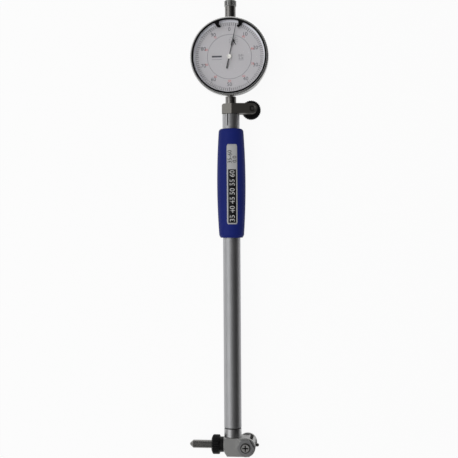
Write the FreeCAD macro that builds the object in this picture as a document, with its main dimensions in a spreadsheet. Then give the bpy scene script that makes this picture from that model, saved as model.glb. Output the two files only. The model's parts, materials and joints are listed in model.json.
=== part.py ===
"""Dial bore gauge with a 58 mm dial indicator, lying on its back.

The gauge frame has its origin where the measuring axis meets the stem axis: X runs along
the measuring axis towards the plunger, Y runs up the stem towards the indicator, and Z
points out of the dial. The finished parts are shifted so that the floor is Z = 0 and the
middle of the whole gauge is X = Y = 0.
"""
import FreeCAD, Part

import math
import os
import re

import Sketcher

VECTOR = FreeCAD.Vector
ROTATION = FreeCAD.Rotation

# Driving sizes in millimetres, degrees or counts.
SIZES = {
    # measuring head
    "reach": 32.5,
    "head_left": 5.6,
    "head_right": 12.9,
    "head_bottom": 7.5,
    "head_top": 6.0,
    "head_half_depth": 7.2,
    "head_chamfer": 1.8,
    "neck_radius": 5.15,
    "neck_depth": 11.6,
    "collar_length": 6.4,
    "collar_inset": 0.05,
    "seal_inset": 0.35,
    "seal_width": 0.55,
    "face_chamfer": 0.4,
    # anvil and lock nut
    "anvil_radius": 3.0,
    "anvil_end": 4.6,
    "anvil_nose_length": 2.6,
    "anvil_nose_radius": 1.2,
    "boss_ring_radius": 6.0,
    "boss_ring_width": 1.0,
    "thread_boss_radius": 4.4,
    "thread_boss_length": 3.9,
    "nut_radius": 7.25,
    "nut_gap": 0.15,
    "nut_hub_radius": 5.7,
    "nut_hub_length": 2.95,
    "nut_rim_length": 6.1,
    "nut_flutes": 28,
    "flute_depth": 0.45,
    # plunger and bell crank
    "plunger_nose_radius": 1.0,
    "plunger_flange_start": 7.4,
    "plunger_flange_radius": 2.9,
    "plunger_flange_width": 2.0,
    "plunger_neck_radius": 1.7,
    "plunger_stand": 0.5,
    "plunger_travel": 1.4,
    "tip_radius": 1.3,
    "tip_rise": 1.1,
    "plunger_bush_radius": 3.4,
    "crank_arm": 4.0,
    "crank_arm_half": 0.4,
    "crank_pad_radius": 0.8,
    "crank_hub_radius": 1.85,
    "crank_width": 2.4,
    "crank_clearance": 0.35,
    "crank_pin_radius": 1.0,
    "crank_pin_inset": 3.2,
    "crank_slot_left": 2.6,
    "crank_slot_bottom": 2.0,
    "contact_gap": 0.06,
    # centring bridge
    "bridge_radius": 7.0,
    "bridge_crown": 0.8,
    "cheek_gap": 0.3,
    "cheek_thickness": 2.3,
    "bridge_travel": 2.0,
    "web_gap": 0.3,
    "web_thickness": 1.5,
    "web_relief_half": 6.0,
    "nose_clearance": 0.4,
    "bridge_screw_inset": 0.2,
    "screw_shoulder_radius": 2.5,
    "screw_thread_radius": 1.75,
    "screw_thread_length": 3.4,
    "screw_head_flats": 11.0,
    "screw_head_thickness": 1.7,
    "screw_pan_radius": 3.6,
    "recess_width": 0.9,
    "recess_length": 4.4,
    "recess_depth": 1.3,
    "bridge_spring_radius": 1.1,
    "bridge_spring_y": 3.9,
    "bridge_spring_z": 3.7,
    "bridge_spring_depth": 3.9,
    # tube, push rod and grip
    "tube_wall": 1.3,
    "tube_drop": 4.3,
    "rod_radius": 1.5,
    "rod_head_radius": 2.4,
    "rod_head_length": 2.0,
    "rod_shoulder_rise": 2.0,
    "rod_shoulder_length": 1.5,
    "rod_shoulder_radius": 2.6,
    "rod_spring_radius": 3.2,
    "rod_spring_gap": 0.6,
    "rod_spring_length": 17.5,
    "bush_length": 4.0,
    "upper_guide_drop": 10.0,
    "grip_start": 155.1,
    "grip_length": 81.2,
    "grip_radius": 10.65,
    "grip_bulge": 1.35,
    "grip_rim_step": 1.1,
    "grip_rim": 1.9,
    # collet sleeve and clamp
    "spigot_depth": 10.0,
    "sleeve_rise": 11.3,
    "sleeve_inset": 0.3,
    "collet_wall": 0.9,
    "slit_gap": 2.4,
    "slit_width": 0.9,
    "slit_turn": 17.0,
    "slit_count": 3,
    "clamp_gap": 0.2,
    "clamp_height": 7.5,
    "clamp_turn": 9.0,
    "clamp_front": 6.2,
    "clamp_left": 6.8,
    "clamp_corner_x": 5.4,
    "clamp_corner_z": 3.5,
    "clamp_chamfer": 1.2,
    "clamp_slope": 1.2,
    "ear_step": 0.6,
    "ear_back": 4.4,
    "ear_slot": 1.0,
    "clamp_screw_x": 15.75,
    "clamp_screw_radius": 1.6,
    "clamp_screw_recess": 1.6,
    "ear_countersink": 2.4,
    "knob_radius": 7.25,
    "knob_gap": 0.2,
    "knob_length": 4.2,
    "knob_flutes": 30,
    # dial indicator, outside
    "dial_clearance": 5.0,
    "back_depth": 12.5,
    "case_radius": 26.5,
    "case_wall": 2.2,
    "case_rim_rise": 0.5,
    "case_web_front": 3.6,
    "case_web_thickness": 1.6,
    "bezel_wall": 2.5,
    "bezel_overlap": 1.4,
    "bezel_rim_rise": 1.6,
    "bezel_flutes": 110,
    "bezel_flute_depth": 0.35,
    "ledge_inset": 0.5,
    "ledge_rise": 1.0,
    "seat_step": 0.6,
    "crystal_rise": 1.2,
    "crystal_step": 0.65,
    "crystal_thickness": 1.0,
    "ring_width": 1.25,
    "ring_outer_height": 1.3,
    "ring_inner_height": 0.75,
    "ring_groove_depth": 0.7,
    "ring_groove_height": 0.6,
    "back_cover_thickness": 1.7,
    "cover_inset": 0.5,
    "back_screw_radius": 0.9,
    "back_screw_length": 4.0,
    "stem_radius": 4.0,
    "stem_depth": 4.6,
    "stem_wall": 1.4,
    "guard_rise": 9.9,
    "guard_spigot_step": 0.8,
    "guard_spigot_length": 2.8,
    "cap_overhang": 0.5,
    "cap_knurl_length": 4.4,
    "cap_clearance": 0.3,
    "cap_dome_inset": 1.6,
    "cap_dome_rise": 2.4,
    "cap_dome_height": 1.0,
    "cap_flutes": 24,
    # dial indicator, inside
    "spindle_radius": 2.0,
    "spindle_reach": 6.0,
    "spindle_inset": 2.2,
    "contact_length": 4.0,
    "contact_radius": 1.6,
    "spindle_bush_length": 6.0,
    "guide_pin_radius": 0.7,
    "guide_pin_rise": 8.0,
    "guide_pin_end": 8.4,
    "guide_rail_start": 3.6,
    "guide_rail_end": 6.2,
    "guide_rail_length": 9.0,
    "guide_rail_wall": 1.0,
    "rack_pitch": 0.625,
    "rack_teeth": 19,
    "rack_pinion_width": 3.0,
    "pinion_teeth": 16,
    "gear_gap": 0.98,
    "gear_teeth": 100,
    "centre_teeth": 10,
    "drive_x": 3.0,
    "gear_rise": 0.5,
    "gear_thickness": 0.8,
    "centre_pinion_margin": 0.2,
    "staff_radius": 0.6,
    "pivot_radius": 0.4,
    "plate_gap": 1.8,
    "plate_rise": 0.7,
    "middle_plate_back": 2.4,
    "middle_plate_thickness": 0.8,
    "front_plate_thickness": 0.9,
    "pillar_radius": 1.4,
    "pillar_inset": 1.9,
    "plate_screw_radius": 1.2,
    "plate_screw_head": 0.8,
    "plate_screw_depth": 2.0,
    "hairspring_radius": 3.4,
    "hairspring_width": 0.6,
    "hairspring_rise": 0.4,
    "return_spring_radius": 0.9,
    "dial_thickness": 0.6,
    "dial_scale_width": 10.5,
    "dial_hole_radius": 1.2,
    "dial_foot_share": 0.85,
    "pointer_inset": 2.1,
    "pointer_tail": 9.2,
    "pointer_leaf_half": 0.62,
    "pointer_turn": 12.2,
    "pointer_hub_radius": 1.7,
    "pointer_rise": 1.1,
    "pointer_thickness": 0.3,
    "hand_length": 3.9,
    "hand_leaf_half": 0.36,
    "hand_turn": 150.0,
    "hand_rise": 0.5,
    "hand_thickness": 0.25,
    "marker_turn": 19.5,
    "marker_reach": 4.5,
    "marker_width": 3.6,
    "marker_thickness": 0.4,
    # fits
    "running_fit": 0.04,
    "thread_fit": 0.1,
    "slide_fit": 0.05,
    "flat_fit": 0.1,
}

# Sizes that follow from the driving ones, so that what is stacked or nested stays together.
FOLLOWS = {
    # along the stem
    "collar_end": "head_top + collar_length",
    "neck_end": "collar_end + neck_depth",
    "rod_shoulder_start": "neck_end + rod_shoulder_rise",
    "spring_stop_start": "rod_shoulder_start + rod_shoulder_length + rod_spring_length",
    "grip_end": "grip_start + grip_length",
    "tube_end": "grip_end - tube_drop",
    "sleeve_spigot_start": "tube_end - spigot_depth",
    "upper_guide_start": "sleeve_spigot_start - upper_guide_drop",
    "slit_start": "grip_end + slit_gap",
    "sleeve_shoulder": "grip_end + sleeve_rise",
    "clamp_start": "sleeve_shoulder + clamp_gap",
    "clamp_end": "clamp_start + clamp_height",
    "sleeve_end": "clamp_end - sleeve_inset",
    "stem_start": "sleeve_shoulder - stem_depth",
    "spindle_start": "stem_start - spindle_reach",
    "contact_start": "spindle_start - contact_length",
    "rod_end": "contact_start - contact_gap",
    "bezel_radius": "case_radius + bezel_wall",
    "dial_height": "clamp_end + dial_clearance + bezel_radius",
    "guard_end": "dial_height + bezel_radius + guard_rise",
    "spindle_end": "guard_end - spindle_inset",
    "cap_knurl_end": "guard_end + cap_knurl_length",
    "cap_end": "cap_knurl_end + cap_dome_rise",
    # along the measuring axis
    "boss_ring_end": "head_left + boss_ring_width",
    "thread_boss_end": "boss_ring_end + thread_boss_length",
    "nut_right": "boss_ring_end + nut_gap",
    "nut_step": "nut_right + nut_hub_length",
    "nut_left": "nut_step + nut_rim_length",
    "plunger_flange_end": "plunger_flange_start + plunger_flange_width",
    "plunger_bush_start": "plunger_flange_end + flat_fit",
    "web_inner": "head_right + bridge_travel + web_gap",
    "web_outer": "web_inner + web_thickness",
    "bridge_centre": "web_outer + bridge_crown - bridge_radius",
    "bridge_screw_x": "bridge_centre - bridge_screw_inset",
    "bridge_spring_start": "head_right - bridge_spring_depth",
    "plunger_end": "web_outer + plunger_stand",
    "tip_centre": "plunger_end + tip_rise",
    # across the gauge
    "tube_bore": "neck_radius + slide_fit",
    "tube_radius": "tube_bore + tube_wall",
    "collar_radius": "tube_radius - collar_inset",
    "seal_radius": "tube_radius - seal_inset",
    "sleeve_radius": "tube_radius - flat_fit",
    "grip_shoulder_radius": "grip_radius - grip_bulge",
    "grip_face_radius": "grip_shoulder_radius - grip_rim_step",
    "collet_neck_radius": "stem_radius + collet_wall",
    "stem_bore": "stem_radius - stem_wall",
    "guard_spigot_radius": "stem_radius - guard_spigot_step",
    "cap_radius": "stem_radius + cap_overhang",
    "cap_dome_radius": "cap_radius - cap_dome_inset",
    "cheek_inner": "head_half_depth + cheek_gap",
    "cheek_outer": "cheek_inner + cheek_thickness",
    "screw_head_start": "cheek_outer + flat_fit",
    "screw_head_end": "screw_head_start + screw_head_thickness",
    "screw_thread_end": "head_half_depth - screw_thread_length",
    "crank_pin_end": "head_half_depth - crank_pin_inset",
    "knob_start": "ear_back + knob_gap",
    "knob_end": "knob_start + knob_length",
    # radii in the indicator
    "bezel_ledge_radius": "case_radius - ledge_inset",
    "back_cover_radius": "case_radius - cover_inset",
    "dial_seat_radius": "case_radius + seat_step",
    "dial_centre_radius": "dial_seat_radius - dial_scale_width",
    "crystal_radius": "dial_seat_radius + crystal_step",
    "ring_inner_radius": "crystal_radius - ring_width",
    "ring_groove_radius": "ring_inner_radius + ring_groove_depth",
    "marker_tip_radius": "ring_inner_radius - marker_reach",
    "pointer_length": "dial_seat_radius - pointer_inset",
    "plate_radius": "case_radius - case_wall - plate_gap",
    "pillar_circle": "plate_radius - pillar_inset",
    "gear_module": "(case_radius - case_wall - gear_gap) / (gear_teeth + centre_teeth / 2 + 1)",
    # levels in the indicator
    "case_web_back": "case_web_front + case_web_thickness",
    "middle_plate_front": "middle_plate_back + middle_plate_thickness",
    "gear_back": "middle_plate_front + gear_rise",
    "front_plate_back": "gear_back + gear_thickness + plate_rise",
    "front_plate_front": "front_plate_back + front_plate_thickness",
    "case_front": "front_plate_front + case_rim_rise",
    "bezel_start": "case_front - bezel_overlap",
    "bezel_ledge_end": "case_front + ledge_rise",
    "dial_front": "bezel_ledge_end + dial_thickness",
    "hand_back": "dial_front + hand_rise",
    "pointer_back": "hand_back + pointer_rise",
    "crystal_seat": "pointer_back + crystal_rise",
    "bezel_end": "crystal_seat + bezel_rim_rise",
}

doc = FreeCAD.newDocument("DialBoreGauge")
sheet = doc.addObject("Spreadsheet::Sheet", "Sizes")
for row, (alias, size) in enumerate({**SIZES, **FOLLOWS}.items(), start=1):
    sheet.set(f"A{row}", alias)
    sheet.setAlias(f"B{row}", alias)
for row, (alias, size) in enumerate({**SIZES, **FOLLOWS}.items(), start=1):
    sheet.set(f"B{row}", f"={size}" if alias in FOLLOWS else str(size))
doc.recompute()

NODES = []

# Where the gauge frame's origin lies in the finished frame.
SHIFT_X = "(reach - bezel_radius) / 2"
SHIFT_Y = "-(cap_end - head_bottom) / 2"
SHIFT_Z = "back_depth"


def bound(formula):
    """Expression on the sheet for a formula that uses the plain names of the sizes."""
    return re.sub(r"[a-z_]+", lambda word: f"Sizes.{word[0]}" if word[0] in SIZES or word[0] in FOLLOWS else word[0], formula)


def value_of(formula):
    """Present value of such a formula."""
    return float(sheet.evalExpression(bound(formula)))


def tie(thing, path, formula):
    """Bind one property of a document object to a formula."""
    thing.setExpression(path, bound(formula))


def seat(thing, label, x="0", y="0", z="0", turn=None):
    """Label a finished sub-part and put its own origin at a place in the gauge frame.

    turn, a formula in degrees, turns it about the direction of the stem (Y).
    """
    thing.Label = label
    if turn:
        thing.Placement.Rotation = ROTATION(VECTOR(0, 1, 0), value_of(turn))
        tie(thing, "Placement.Rotation.Angle", turn)
    tie(thing, "Placement.Base.x", f"{SHIFT_X} + {x}")
    tie(thing, "Placement.Base.y", f"{SHIFT_Y} + {y}")
    tie(thing, "Placement.Base.z", f"{SHIFT_Z} + {z}")
    NODES.append(thing)
    return thing


# ---------------------------------------------------------------- sketches and bodies


def new_sketch(body, role, name, height="0"):
    """Empty sketch on one of the body's own origin planes, raised along that plane's normal."""
    plane = next(f for f in body.Origin.OriginFeatures if f.Role == role)
    sketch = body.newObject("Sketcher::SketchObject", name)
    sketch.AttachmentSupport = [(plane, "")]
    sketch.MapMode = "FlatFace"
    if height != "0":
        tie(sketch, "AttachmentOffset.Base.z", height)
    return sketch


def pin_point(sketch, edge, end, x, y):
    """Hold one end of an edge at the place that two formulas give."""
    for kind, formula, far_axis in (("DistanceX", x, -2), ("DistanceY", y, -1)):
        if formula == "0":
            sketch.addConstraint(Sketcher.Constraint("PointOnObject", edge, end, far_axis))
        else:
            index = sketch.addConstraint(Sketcher.Constraint(kind, -1, 1, edge, end, value_of(formula)))
            sketch.setExpression(f"Constraints[{index}]", bound(formula))


def arc_between(start, end, radius):
    """Arc from start to end, with its centre on the left of the way there if radius is positive."""
    half = (end - start) * 0.5
    rise = math.sqrt(radius * radius - half.Length ** 2)
    side = VECTOR(-half.y, half.x, 0).normalize() * math.copysign(rise, radius)
    centre = start + half + side
    first, last = (start, end) if radius > 0 else (end, start)
    angles = [math.atan2(p.y - centre.y, p.x - centre.x) for p in (first, last)]
    return Part.ArcOfCircle(Part.Circle(centre, VECTOR(0, 0, 1), abs(radius)), *angles)


def draw_outline(sketch, corners):
    """Closed outline through corners, each (x, y), or (x, y, radius) where an arc leads up to it."""
    places = [VECTOR(value_of(corner[0]), value_of(corner[1]), 0) for corner in corners]
    ends = []
    for index, corner in enumerate(corners):
        start, end = places[index - 1], places[index]
        if len(corner) == 3:
            radius = value_of(corner[2])
            edge = sketch.addGeometry(arc_between(start, end, radius))
            held = sketch.addConstraint(Sketcher.Constraint("Radius", edge, abs(radius)))
            sketch.setExpression(f"Constraints[{held}]", bound(f"abs({corner[2]})"))
            ends.append((edge, 1, 2) if radius > 0 else (edge, 2, 1))
        else:
            edge = sketch.addGeometry(Part.LineSegment(start, end))
            ends.append((edge, 1, 2))
    for index, corner in enumerate(corners):
        edge, _, finish = ends[index]
        following, begin, _ = ends[(index + 1) % len(corners)]
        sketch.addConstraint(Sketcher.Constraint("Coincident", edge, finish, following, begin))
        pin_point(sketch, edge, finish, corner[0], corner[1])


def turned_body(name, axis, corners):
    """Body turned about X, Y or Z; corners are (station along the axis, radius[, arc radius])."""
    body = doc.addObject("PartDesign::Body", name)
    sketch = new_sketch(body, "XZ_Plane" if axis == "Z" else "XY_Plane", f"{name}_profile")
    if axis == "X":
        draw_outline(sketch, corners)
    else:
        draw_outline(sketch, [(corner[1], corner[0], *corner[2:]) for corner in corners])
    turning = body.newObject("PartDesign::Revolution", f"{name}_turning")
    turning.Profile = sketch
    turning.ReferenceAxis = (sketch, ["H_Axis" if axis == "X" else "V_Axis"])
    turning.Angle = 360
    body.Tip = turning
    return body


def padded_body(name, role, corners, start, length):
    """Body whose outline on an origin plane is raised from one height through a length."""
    body = doc.addObject("PartDesign::Body", name)
    sketch = new_sketch(body, role, f"{name}_outline", start)
    draw_outline(sketch, corners)
    pad = body.newObject("PartDesign::Pad", f"{name}_pad")
    pad.Profile = sketch
    tie(pad, "Length", length)
    body.Tip = pad
    return body


def cut_through(body, role, name, corners):
    """Pocket that runs through the whole body both ways from an origin plane."""
    sketch = new_sketch(body, role, f"{name}_outline")
    draw_outline(sketch, corners)
    pocket = body.newObject("PartDesign::Pocket", name)
    pocket.Profile = sketch
    pocket.Type = "ThroughAll"
    pocket.Midplane = True
    body.Tip = pocket
    return pocket


def repeat_round(body, feature, axis, count):
    """Pattern of a feature round one of the body's own axes."""
    pattern = body.newObject("PartDesign::PolarPattern", f"{feature.Name}_pattern")
    pattern.Originals = [feature]
    pattern.Axis = (next(f for f in body.Origin.OriginFeatures if f.Role == f"{axis}_Axis"), [""])
    pattern.Angle = 360
    tie(pattern, "Occurrences", count)
    body.Tip = pattern
    return pattern


def flute_rim(body, axis, radius, depth, count):
    """V-shaped flutes along a round rim, each as wide as two thirds of the pitch."""
    role = {"X": "YZ_Plane", "Y": "XZ_Plane", "Z": "XY_Plane"}[axis]
    half_width = f"{radius} * 180 / {count} * pi / 180 * 2 / 3"
    corners = [
        (f"{radius} - {depth}", "0"),
        (f"{radius} + {depth} / 10", half_width),
        (f"{radius} + {depth} / 10", f"-{half_width}"),
    ]
    flute = cut_through(body, role, f"{body.Name}_flute", corners)
    return repeat_round(body, flute, axis, count)


# ---------------------------------------------------------------- primitives and booleans


def round_bar(name, axis, radius, start, end, at=("0", "0")):
    """Cylinder along X, Y or Z; at gives its other two coordinates, in X, Y, Z order."""
    bar = doc.addObject("Part::Cylinder", name)
    tie(bar, "Radius", radius)
    tie(bar, "Height", f"({end}) - ({start})")
    bar.Placement.Rotation = {
        "X": ROTATION(VECTOR(0, 1, 0), 90),
        "Y": ROTATION(VECTOR(1, 0, 0), -90),
        "Z": ROTATION(),
    }[axis]
    places = list(at)
    places.insert("XYZ".index(axis), start)
    for letter, formula in zip("xyz", places):
        tie(bar, f"Placement.Base.{letter}", formula)
    return bar


def block(name, x, y, z):
    """Box between two formulas along each axis."""
    box = doc.addObject("Part::Box", name)
    for side, letter, (start, end) in zip(("Length", "Width", "Height"), "xyz", (x, y, z)):
        tie(box, side, f"({end}) - ({start})")
        tie(box, f"Placement.Base.{letter}", start)
    return box


def fused(name, *pieces):
    """Union of several shapes."""
    union = doc.addObject("Part::MultiFuse", name)
    union.Shapes = list(pieces)
    union.Refine = True
    return union


def cut_away(name, base, *tools):
    """A shape less one or more others."""
    result = doc.addObject("Part::Cut", name)
    result.Base = base
    result.Tool = tools[0] if len(tools) == 1 else fused(f"{name}_tools", *tools)
    result.Refine = True
    return result


def raised(name, corners, start, end):
    """Prism on the XY plane between two heights."""
    wire = Part.makePolygon([VECTOR(x, y, start) for x, y in corners + corners[:1]])
    return Part.Face(wire).extrude(VECTOR(0, 0, end - start))


def shape_feature(name, shape):
    """Document object for a shape that Part's own functions make."""
    feature = doc.addObject("Part::Feature", name)
    feature.Shape = shape
    return feature


def polar(radius, degrees):
    """Point at a radius and an angle counterclockwise from X."""
    angle = math.radians(degrees)
    return (radius * math.cos(angle), radius * math.sin(angle))


# Depth of a tooth below its pitch line in modules, and half widths as shares of the pitch.
TOOTH_DEDENDUM = 1.25
GEAR_ROOT_SHARE = 0.34
GEAR_TIP_SHARE = 0.1
RACK_ROOT_SHARE = 0.16
RACK_TIP_SHARE = 0.4


def gear_shape(teeth, module, bore, start, end, phase):
    """Spur gear with straight-sided teeth; one tooth's middle is at phase degrees."""
    pitch_radius = teeth * module / 2
    tip, root = pitch_radius + module, pitch_radius - TOOTH_DEDENDUM * module
    pitch = 360 / teeth
    corners = []
    for tooth in range(teeth):
        middle = phase + tooth * pitch
        corners += [polar(root, middle - GEAR_ROOT_SHARE * pitch), polar(tip, middle - GEAR_TIP_SHARE * pitch)]
        corners += [polar(tip, middle + GEAR_TIP_SHARE * pitch), polar(root, middle + GEAR_ROOT_SHARE * pitch)]
    blank = raised("gear", corners, start, end)
    return blank.cut(Part.makeCylinder(bore, end - start, VECTOR(0, 0, start)))


# ---------------------------------------------------------------- measuring head


def make_head_block():
    """Block with the neck, the anvil's threaded boss, the plunger bore and the crank slot."""
    body = padded_body("HeadBody", "XY_Plane", [
        ("-head_left", "head_top"),
        ("-head_left", "-head_bottom + head_chamfer * 1.6"),
        ("-head_left + head_chamfer", "-head_bottom"),
        ("head_right", "-head_bottom"),
        ("head_right", "head_top"),
    ], "-head_half_depth", "2 * head_half_depth")
    solid = fused(
        "HeadSolid", body,
        round_bar("HeadNeck", "Y", "neck_radius", "0", "neck_end"),
        round_bar("HeadBossRing", "X", "boss_ring_radius", "-boss_ring_end", "0"),
        round_bar("HeadThreadBoss", "X", "thread_boss_radius", "-thread_boss_end", "0"),
    )
    spring_pockets = [
        round_bar(f"SpringPocket{number}", "X", "bridge_spring_radius + flat_fit",
                  "bridge_spring_start - flat_fit", "head_right + 1",
                  (f"{sign}bridge_spring_y", f"{sign}bridge_spring_z"))
        for number, sign in enumerate(("", "-"), start=1)
    ]
    screw_holes = [
        round_bar("ScrewHoleNear", "Z", "screw_thread_radius", "screw_thread_end - flat_fit",
                  "head_half_depth + 1", ("bridge_screw_x", "0")),
        round_bar("ScrewHoleFar", "Z", "screw_thread_radius", "-head_half_depth - 1",
                  "-screw_thread_end + flat_fit", ("bridge_screw_x", "0")),
    ]
    cuts = [
        round_bar("AnvilBore", "X", "anvil_radius + running_fit", "-thread_boss_end - 1",
                  "-anvil_end + flat_fit"),
        round_bar("PlungerBore", "X", "plunger_flange_radius + slide_fit", "crank_arm", "head_right"),
        round_bar("BushSeat", "X", "plunger_bush_radius", "plunger_bush_start", "head_right + 1"),
        block("CrankSlot", ("-crank_slot_left", "crank_arm + crank_hub_radius + crank_clearance"),
              ("-crank_slot_bottom", "head_top"), ("-crank_width / 2 - flat_fit", "crank_width / 2 + flat_fit")),
        round_bar("RodBore", "Y", "rod_radius + slide_fit", "crank_arm", "neck_end + 1"),
        round_bar("PadBore", "Y", "1.5 * rod_radius", "crank_arm", "head_top + plunger_travel"),
        round_bar("CrankPinHole", "Z", "crank_pin_radius", "-head_half_depth - 1", "crank_pin_end",
                  ("crank_arm", "crank_arm")),
    ]
    seat(cut_away("HeadBlock", solid, *cuts, *screw_holes, *spring_pockets), "head_block")


def make_neck_rings():
    """Polished collar round the neck, and the dark ring between it and the tube."""
    seat(turned_body("NeckCollar", "Y", [
        ("head_top", "neck_radius"),
        ("head_top", "collar_radius - face_chamfer"),
        ("head_top + face_chamfer", "collar_radius"),
        ("collar_end", "collar_radius"),
        ("collar_end", "neck_radius"),
    ]), "neck_collar")
    seat(turned_body("SealRing", "Y", [
        ("collar_end", "neck_radius"),
        ("collar_end", "seal_radius"),
        ("collar_end + seal_width", "seal_radius"),
        ("collar_end + seal_width", "neck_radius"),
    ]), "seal_ring")


def make_anvil():
    """Interchangeable rod with a coned and rounded nose."""
    seat(turned_body("AnvilRod", "X", [
        ("-anvil_end", "0"),
        ("-anvil_end", "anvil_radius - face_chamfer"),
        ("-anvil_end - face_chamfer", "anvil_radius"),
        ("-reach + anvil_nose_length", "anvil_radius"),
        ("-reach + anvil_nose_radius / 2", "anvil_nose_radius"),
        ("-reach", "0", "anvil_nose_radius * 1.25"),
    ]), "anvil_rod")


def make_lock_nut():
    """Knurled nut that runs on the threaded boss and closes on the anvil rod."""
    nut = turned_body("LockNut", "X", [
        ("-nut_left", "anvil_radius + slide_fit"),
        ("-nut_left", "nut_radius * 0.72"),
        ("-nut_left + 2 * face_chamfer", "nut_radius - face_chamfer"),
        ("-nut_left + 3.5 * face_chamfer", "nut_radius"),
        ("-nut_step - face_chamfer", "nut_radius"),
        ("-nut_step", "nut_radius - 2 * face_chamfer"),
        ("-nut_step", "nut_hub_radius"),
        ("-nut_right", "nut_hub_radius"),
        ("-nut_right", "thread_boss_radius + thread_fit"),
        ("-thread_boss_end - flat_fit", "thread_boss_radius + thread_fit"),
        ("-thread_boss_end - flat_fit", "anvil_radius + slide_fit"),
    ])
    flute_rim(nut, "X", "nut_radius", "flute_depth", "nut_flutes")
    seat(nut, "lock_nut")


def make_plunger():
    """Flanged plunger, its ball tip and the bush that keeps it in the block."""
    rear = "crank_arm + crank_pad_radius + contact_gap"
    stem = turned_body("PlungerStem", "X", [
        (rear, "0"),
        (rear, "plunger_nose_radius"),
        ("plunger_flange_start", "plunger_nose_radius"),
        ("plunger_flange_start", "plunger_flange_radius"),
        ("plunger_flange_end", "plunger_flange_radius"),
        ("plunger_flange_end", "plunger_neck_radius"),
        ("plunger_end - face_chamfer", "plunger_neck_radius"),
        ("plunger_end", "plunger_neck_radius - face_chamfer"),
        ("plunger_end", "0"),
    ])
    seat_ball = doc.addObject("Part::Sphere", "TipSeat")
    tie(seat_ball, "Radius", "tip_radius")
    tie(seat_ball, "Placement.Base.x", "tip_centre")
    seat(cut_away("Plunger", stem, seat_ball), "plunger")
    ball = doc.addObject("Part::Sphere", "PlungerTip")
    tie(ball, "Radius", "tip_radius")
    seat(ball, "plunger_tip", "tip_centre")
    seat(turned_body("PlungerBush", "X", [
        ("plunger_bush_start", "plunger_neck_radius + slide_fit"),
        ("plunger_bush_start", "plunger_bush_radius"),
        ("head_right", "plunger_bush_radius"),
        ("head_right", "plunger_neck_radius + slide_fit"),
    ]), "plunger_bush")


def make_bell_crank():
    """Crank with two equal arms at a right angle, and its pin."""
    ends = ("-crank_width / 2", "crank_width / 2")
    solid = fused(
        "CrankSolid",
        round_bar("CrankHub", "Z", "crank_hub_radius", *ends, ("crank_arm", "crank_arm")),
        round_bar("CrankLowerPad", "Z", "crank_pad_radius", *ends, ("crank_arm", "0")),
        round_bar("CrankUpperPad", "Z", "crank_pad_radius", *ends, ("0", "crank_arm")),
        block("CrankLowerArm", ("crank_arm - crank_arm_half", "crank_arm + crank_arm_half"), ("0", "crank_arm"), ends),
        block("CrankUpperArm", ("0", "crank_arm"), ("crank_arm - crank_arm_half", "crank_arm + crank_arm_half"), ends),
    )
    bore = round_bar("CrankBore", "Z", "crank_pin_radius + running_fit", "-crank_width", "crank_width",
                     ("crank_arm", "crank_arm"))
    seat(cut_away("BellCrank", solid, bore), "bell_crank")
    seat(round_bar("CrankPin", "Z", "crank_pin_radius", "-head_half_depth", "crank_pin_end"), "crank_pin",
         "crank_arm", "crank_arm", "-head_half_depth")


def make_bridge():
    """Round bridge milled out to straddle the block, with slots for the shoulder screws."""
    whole = round_bar("BridgeRound", "Z", "bridge_radius", "-cheek_outer", "cheek_outer", ("bridge_centre", "0"))
    slot_width = "screw_shoulder_radius + slide_fit"
    far_end = "bridge_screw_x + bridge_travel + flat_fit"
    through = ("-cheek_outer - 1", "cheek_outer + 1")
    cuts = [
        block("BridgeGap", ("0", "web_inner"), ("-2 * bridge_radius", "2 * bridge_radius"),
              ("-cheek_inner", "cheek_inner")),
        block("BridgeRelief", ("web_outer", "bridge_centre + bridge_radius + 1"),
              ("-2 * bridge_radius", "2 * bridge_radius"), ("-web_relief_half", "web_relief_half")),
        round_bar("BridgeNose", "X", "plunger_neck_radius + nose_clearance", "web_inner - 1",
                  "bridge_centre + bridge_radius + 1"),
        round_bar("BridgeSlotInner", "Z", slot_width, *through, ("bridge_screw_x", "0")),
        round_bar("BridgeSlotOuter", "Z", slot_width, *through, (far_end, "0")),
        block("BridgeSlotMiddle", ("bridge_screw_x", far_end), (f"-({slot_width})", slot_width), through),
    ]
    seat(cut_away("Bridge", whole, *cuts), "bridge")


def make_bridge_screw(side, sign):
    """Shoulder screw with a hexagonal flange, a round head and a cross recess."""
    name = f"BridgeScrew{side}"
    flange = doc.addObject("Part::Prism", f"{name}Hex")
    flange.Polygon = 6
    tie(flange, "Circumradius", "screw_head_flats / 2 / cos(30)")
    tie(flange, "Height", "screw_head_end - screw_head_start")
    tie(flange, "Placement.Base.z", "screw_head_start")
    body = fused(
        f"{name}Solid", flange,
        round_bar(f"{name}Thread", "Z", "screw_thread_radius", "screw_thread_end", "screw_head_end"),
        round_bar(f"{name}Shoulder", "Z", "screw_shoulder_radius", "head_half_depth", "screw_head_end"),
        round_bar(f"{name}Pan", "Z", "screw_pan_radius", "screw_head_start", "back_depth"),
    )
    floor = "back_depth - recess_depth"
    arms = [
        block(f"{name}Recess{letter}", *spans, (floor, "back_depth + 1"))
        for letter, spans in (
            ("A", [("-recess_length / 2", "recess_length / 2"), ("-recess_width / 2", "recess_width / 2")]),
            ("B", [("-recess_width / 2", "recess_width / 2"), ("-recess_length / 2", "recess_length / 2")]),
        )
    ]
    screw = cut_away(name, body, *arms)
    if sign < 0:
        screw.Placement.Rotation = ROTATION(VECTOR(1, 0, 0), 180)
    seat(screw, f"bridge_screw_{side.lower()}", "bridge_screw_x")


def coil_sleeve(name, label, axis, outer, inner, start, end, at=("0", "0", "0")):
    """Closed sleeve that stands for a coil spring between two stations."""
    seat(turned_body(name, axis, [(start, inner), (start, outer), (end, outer), (end, inner)]), label, *at)


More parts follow.
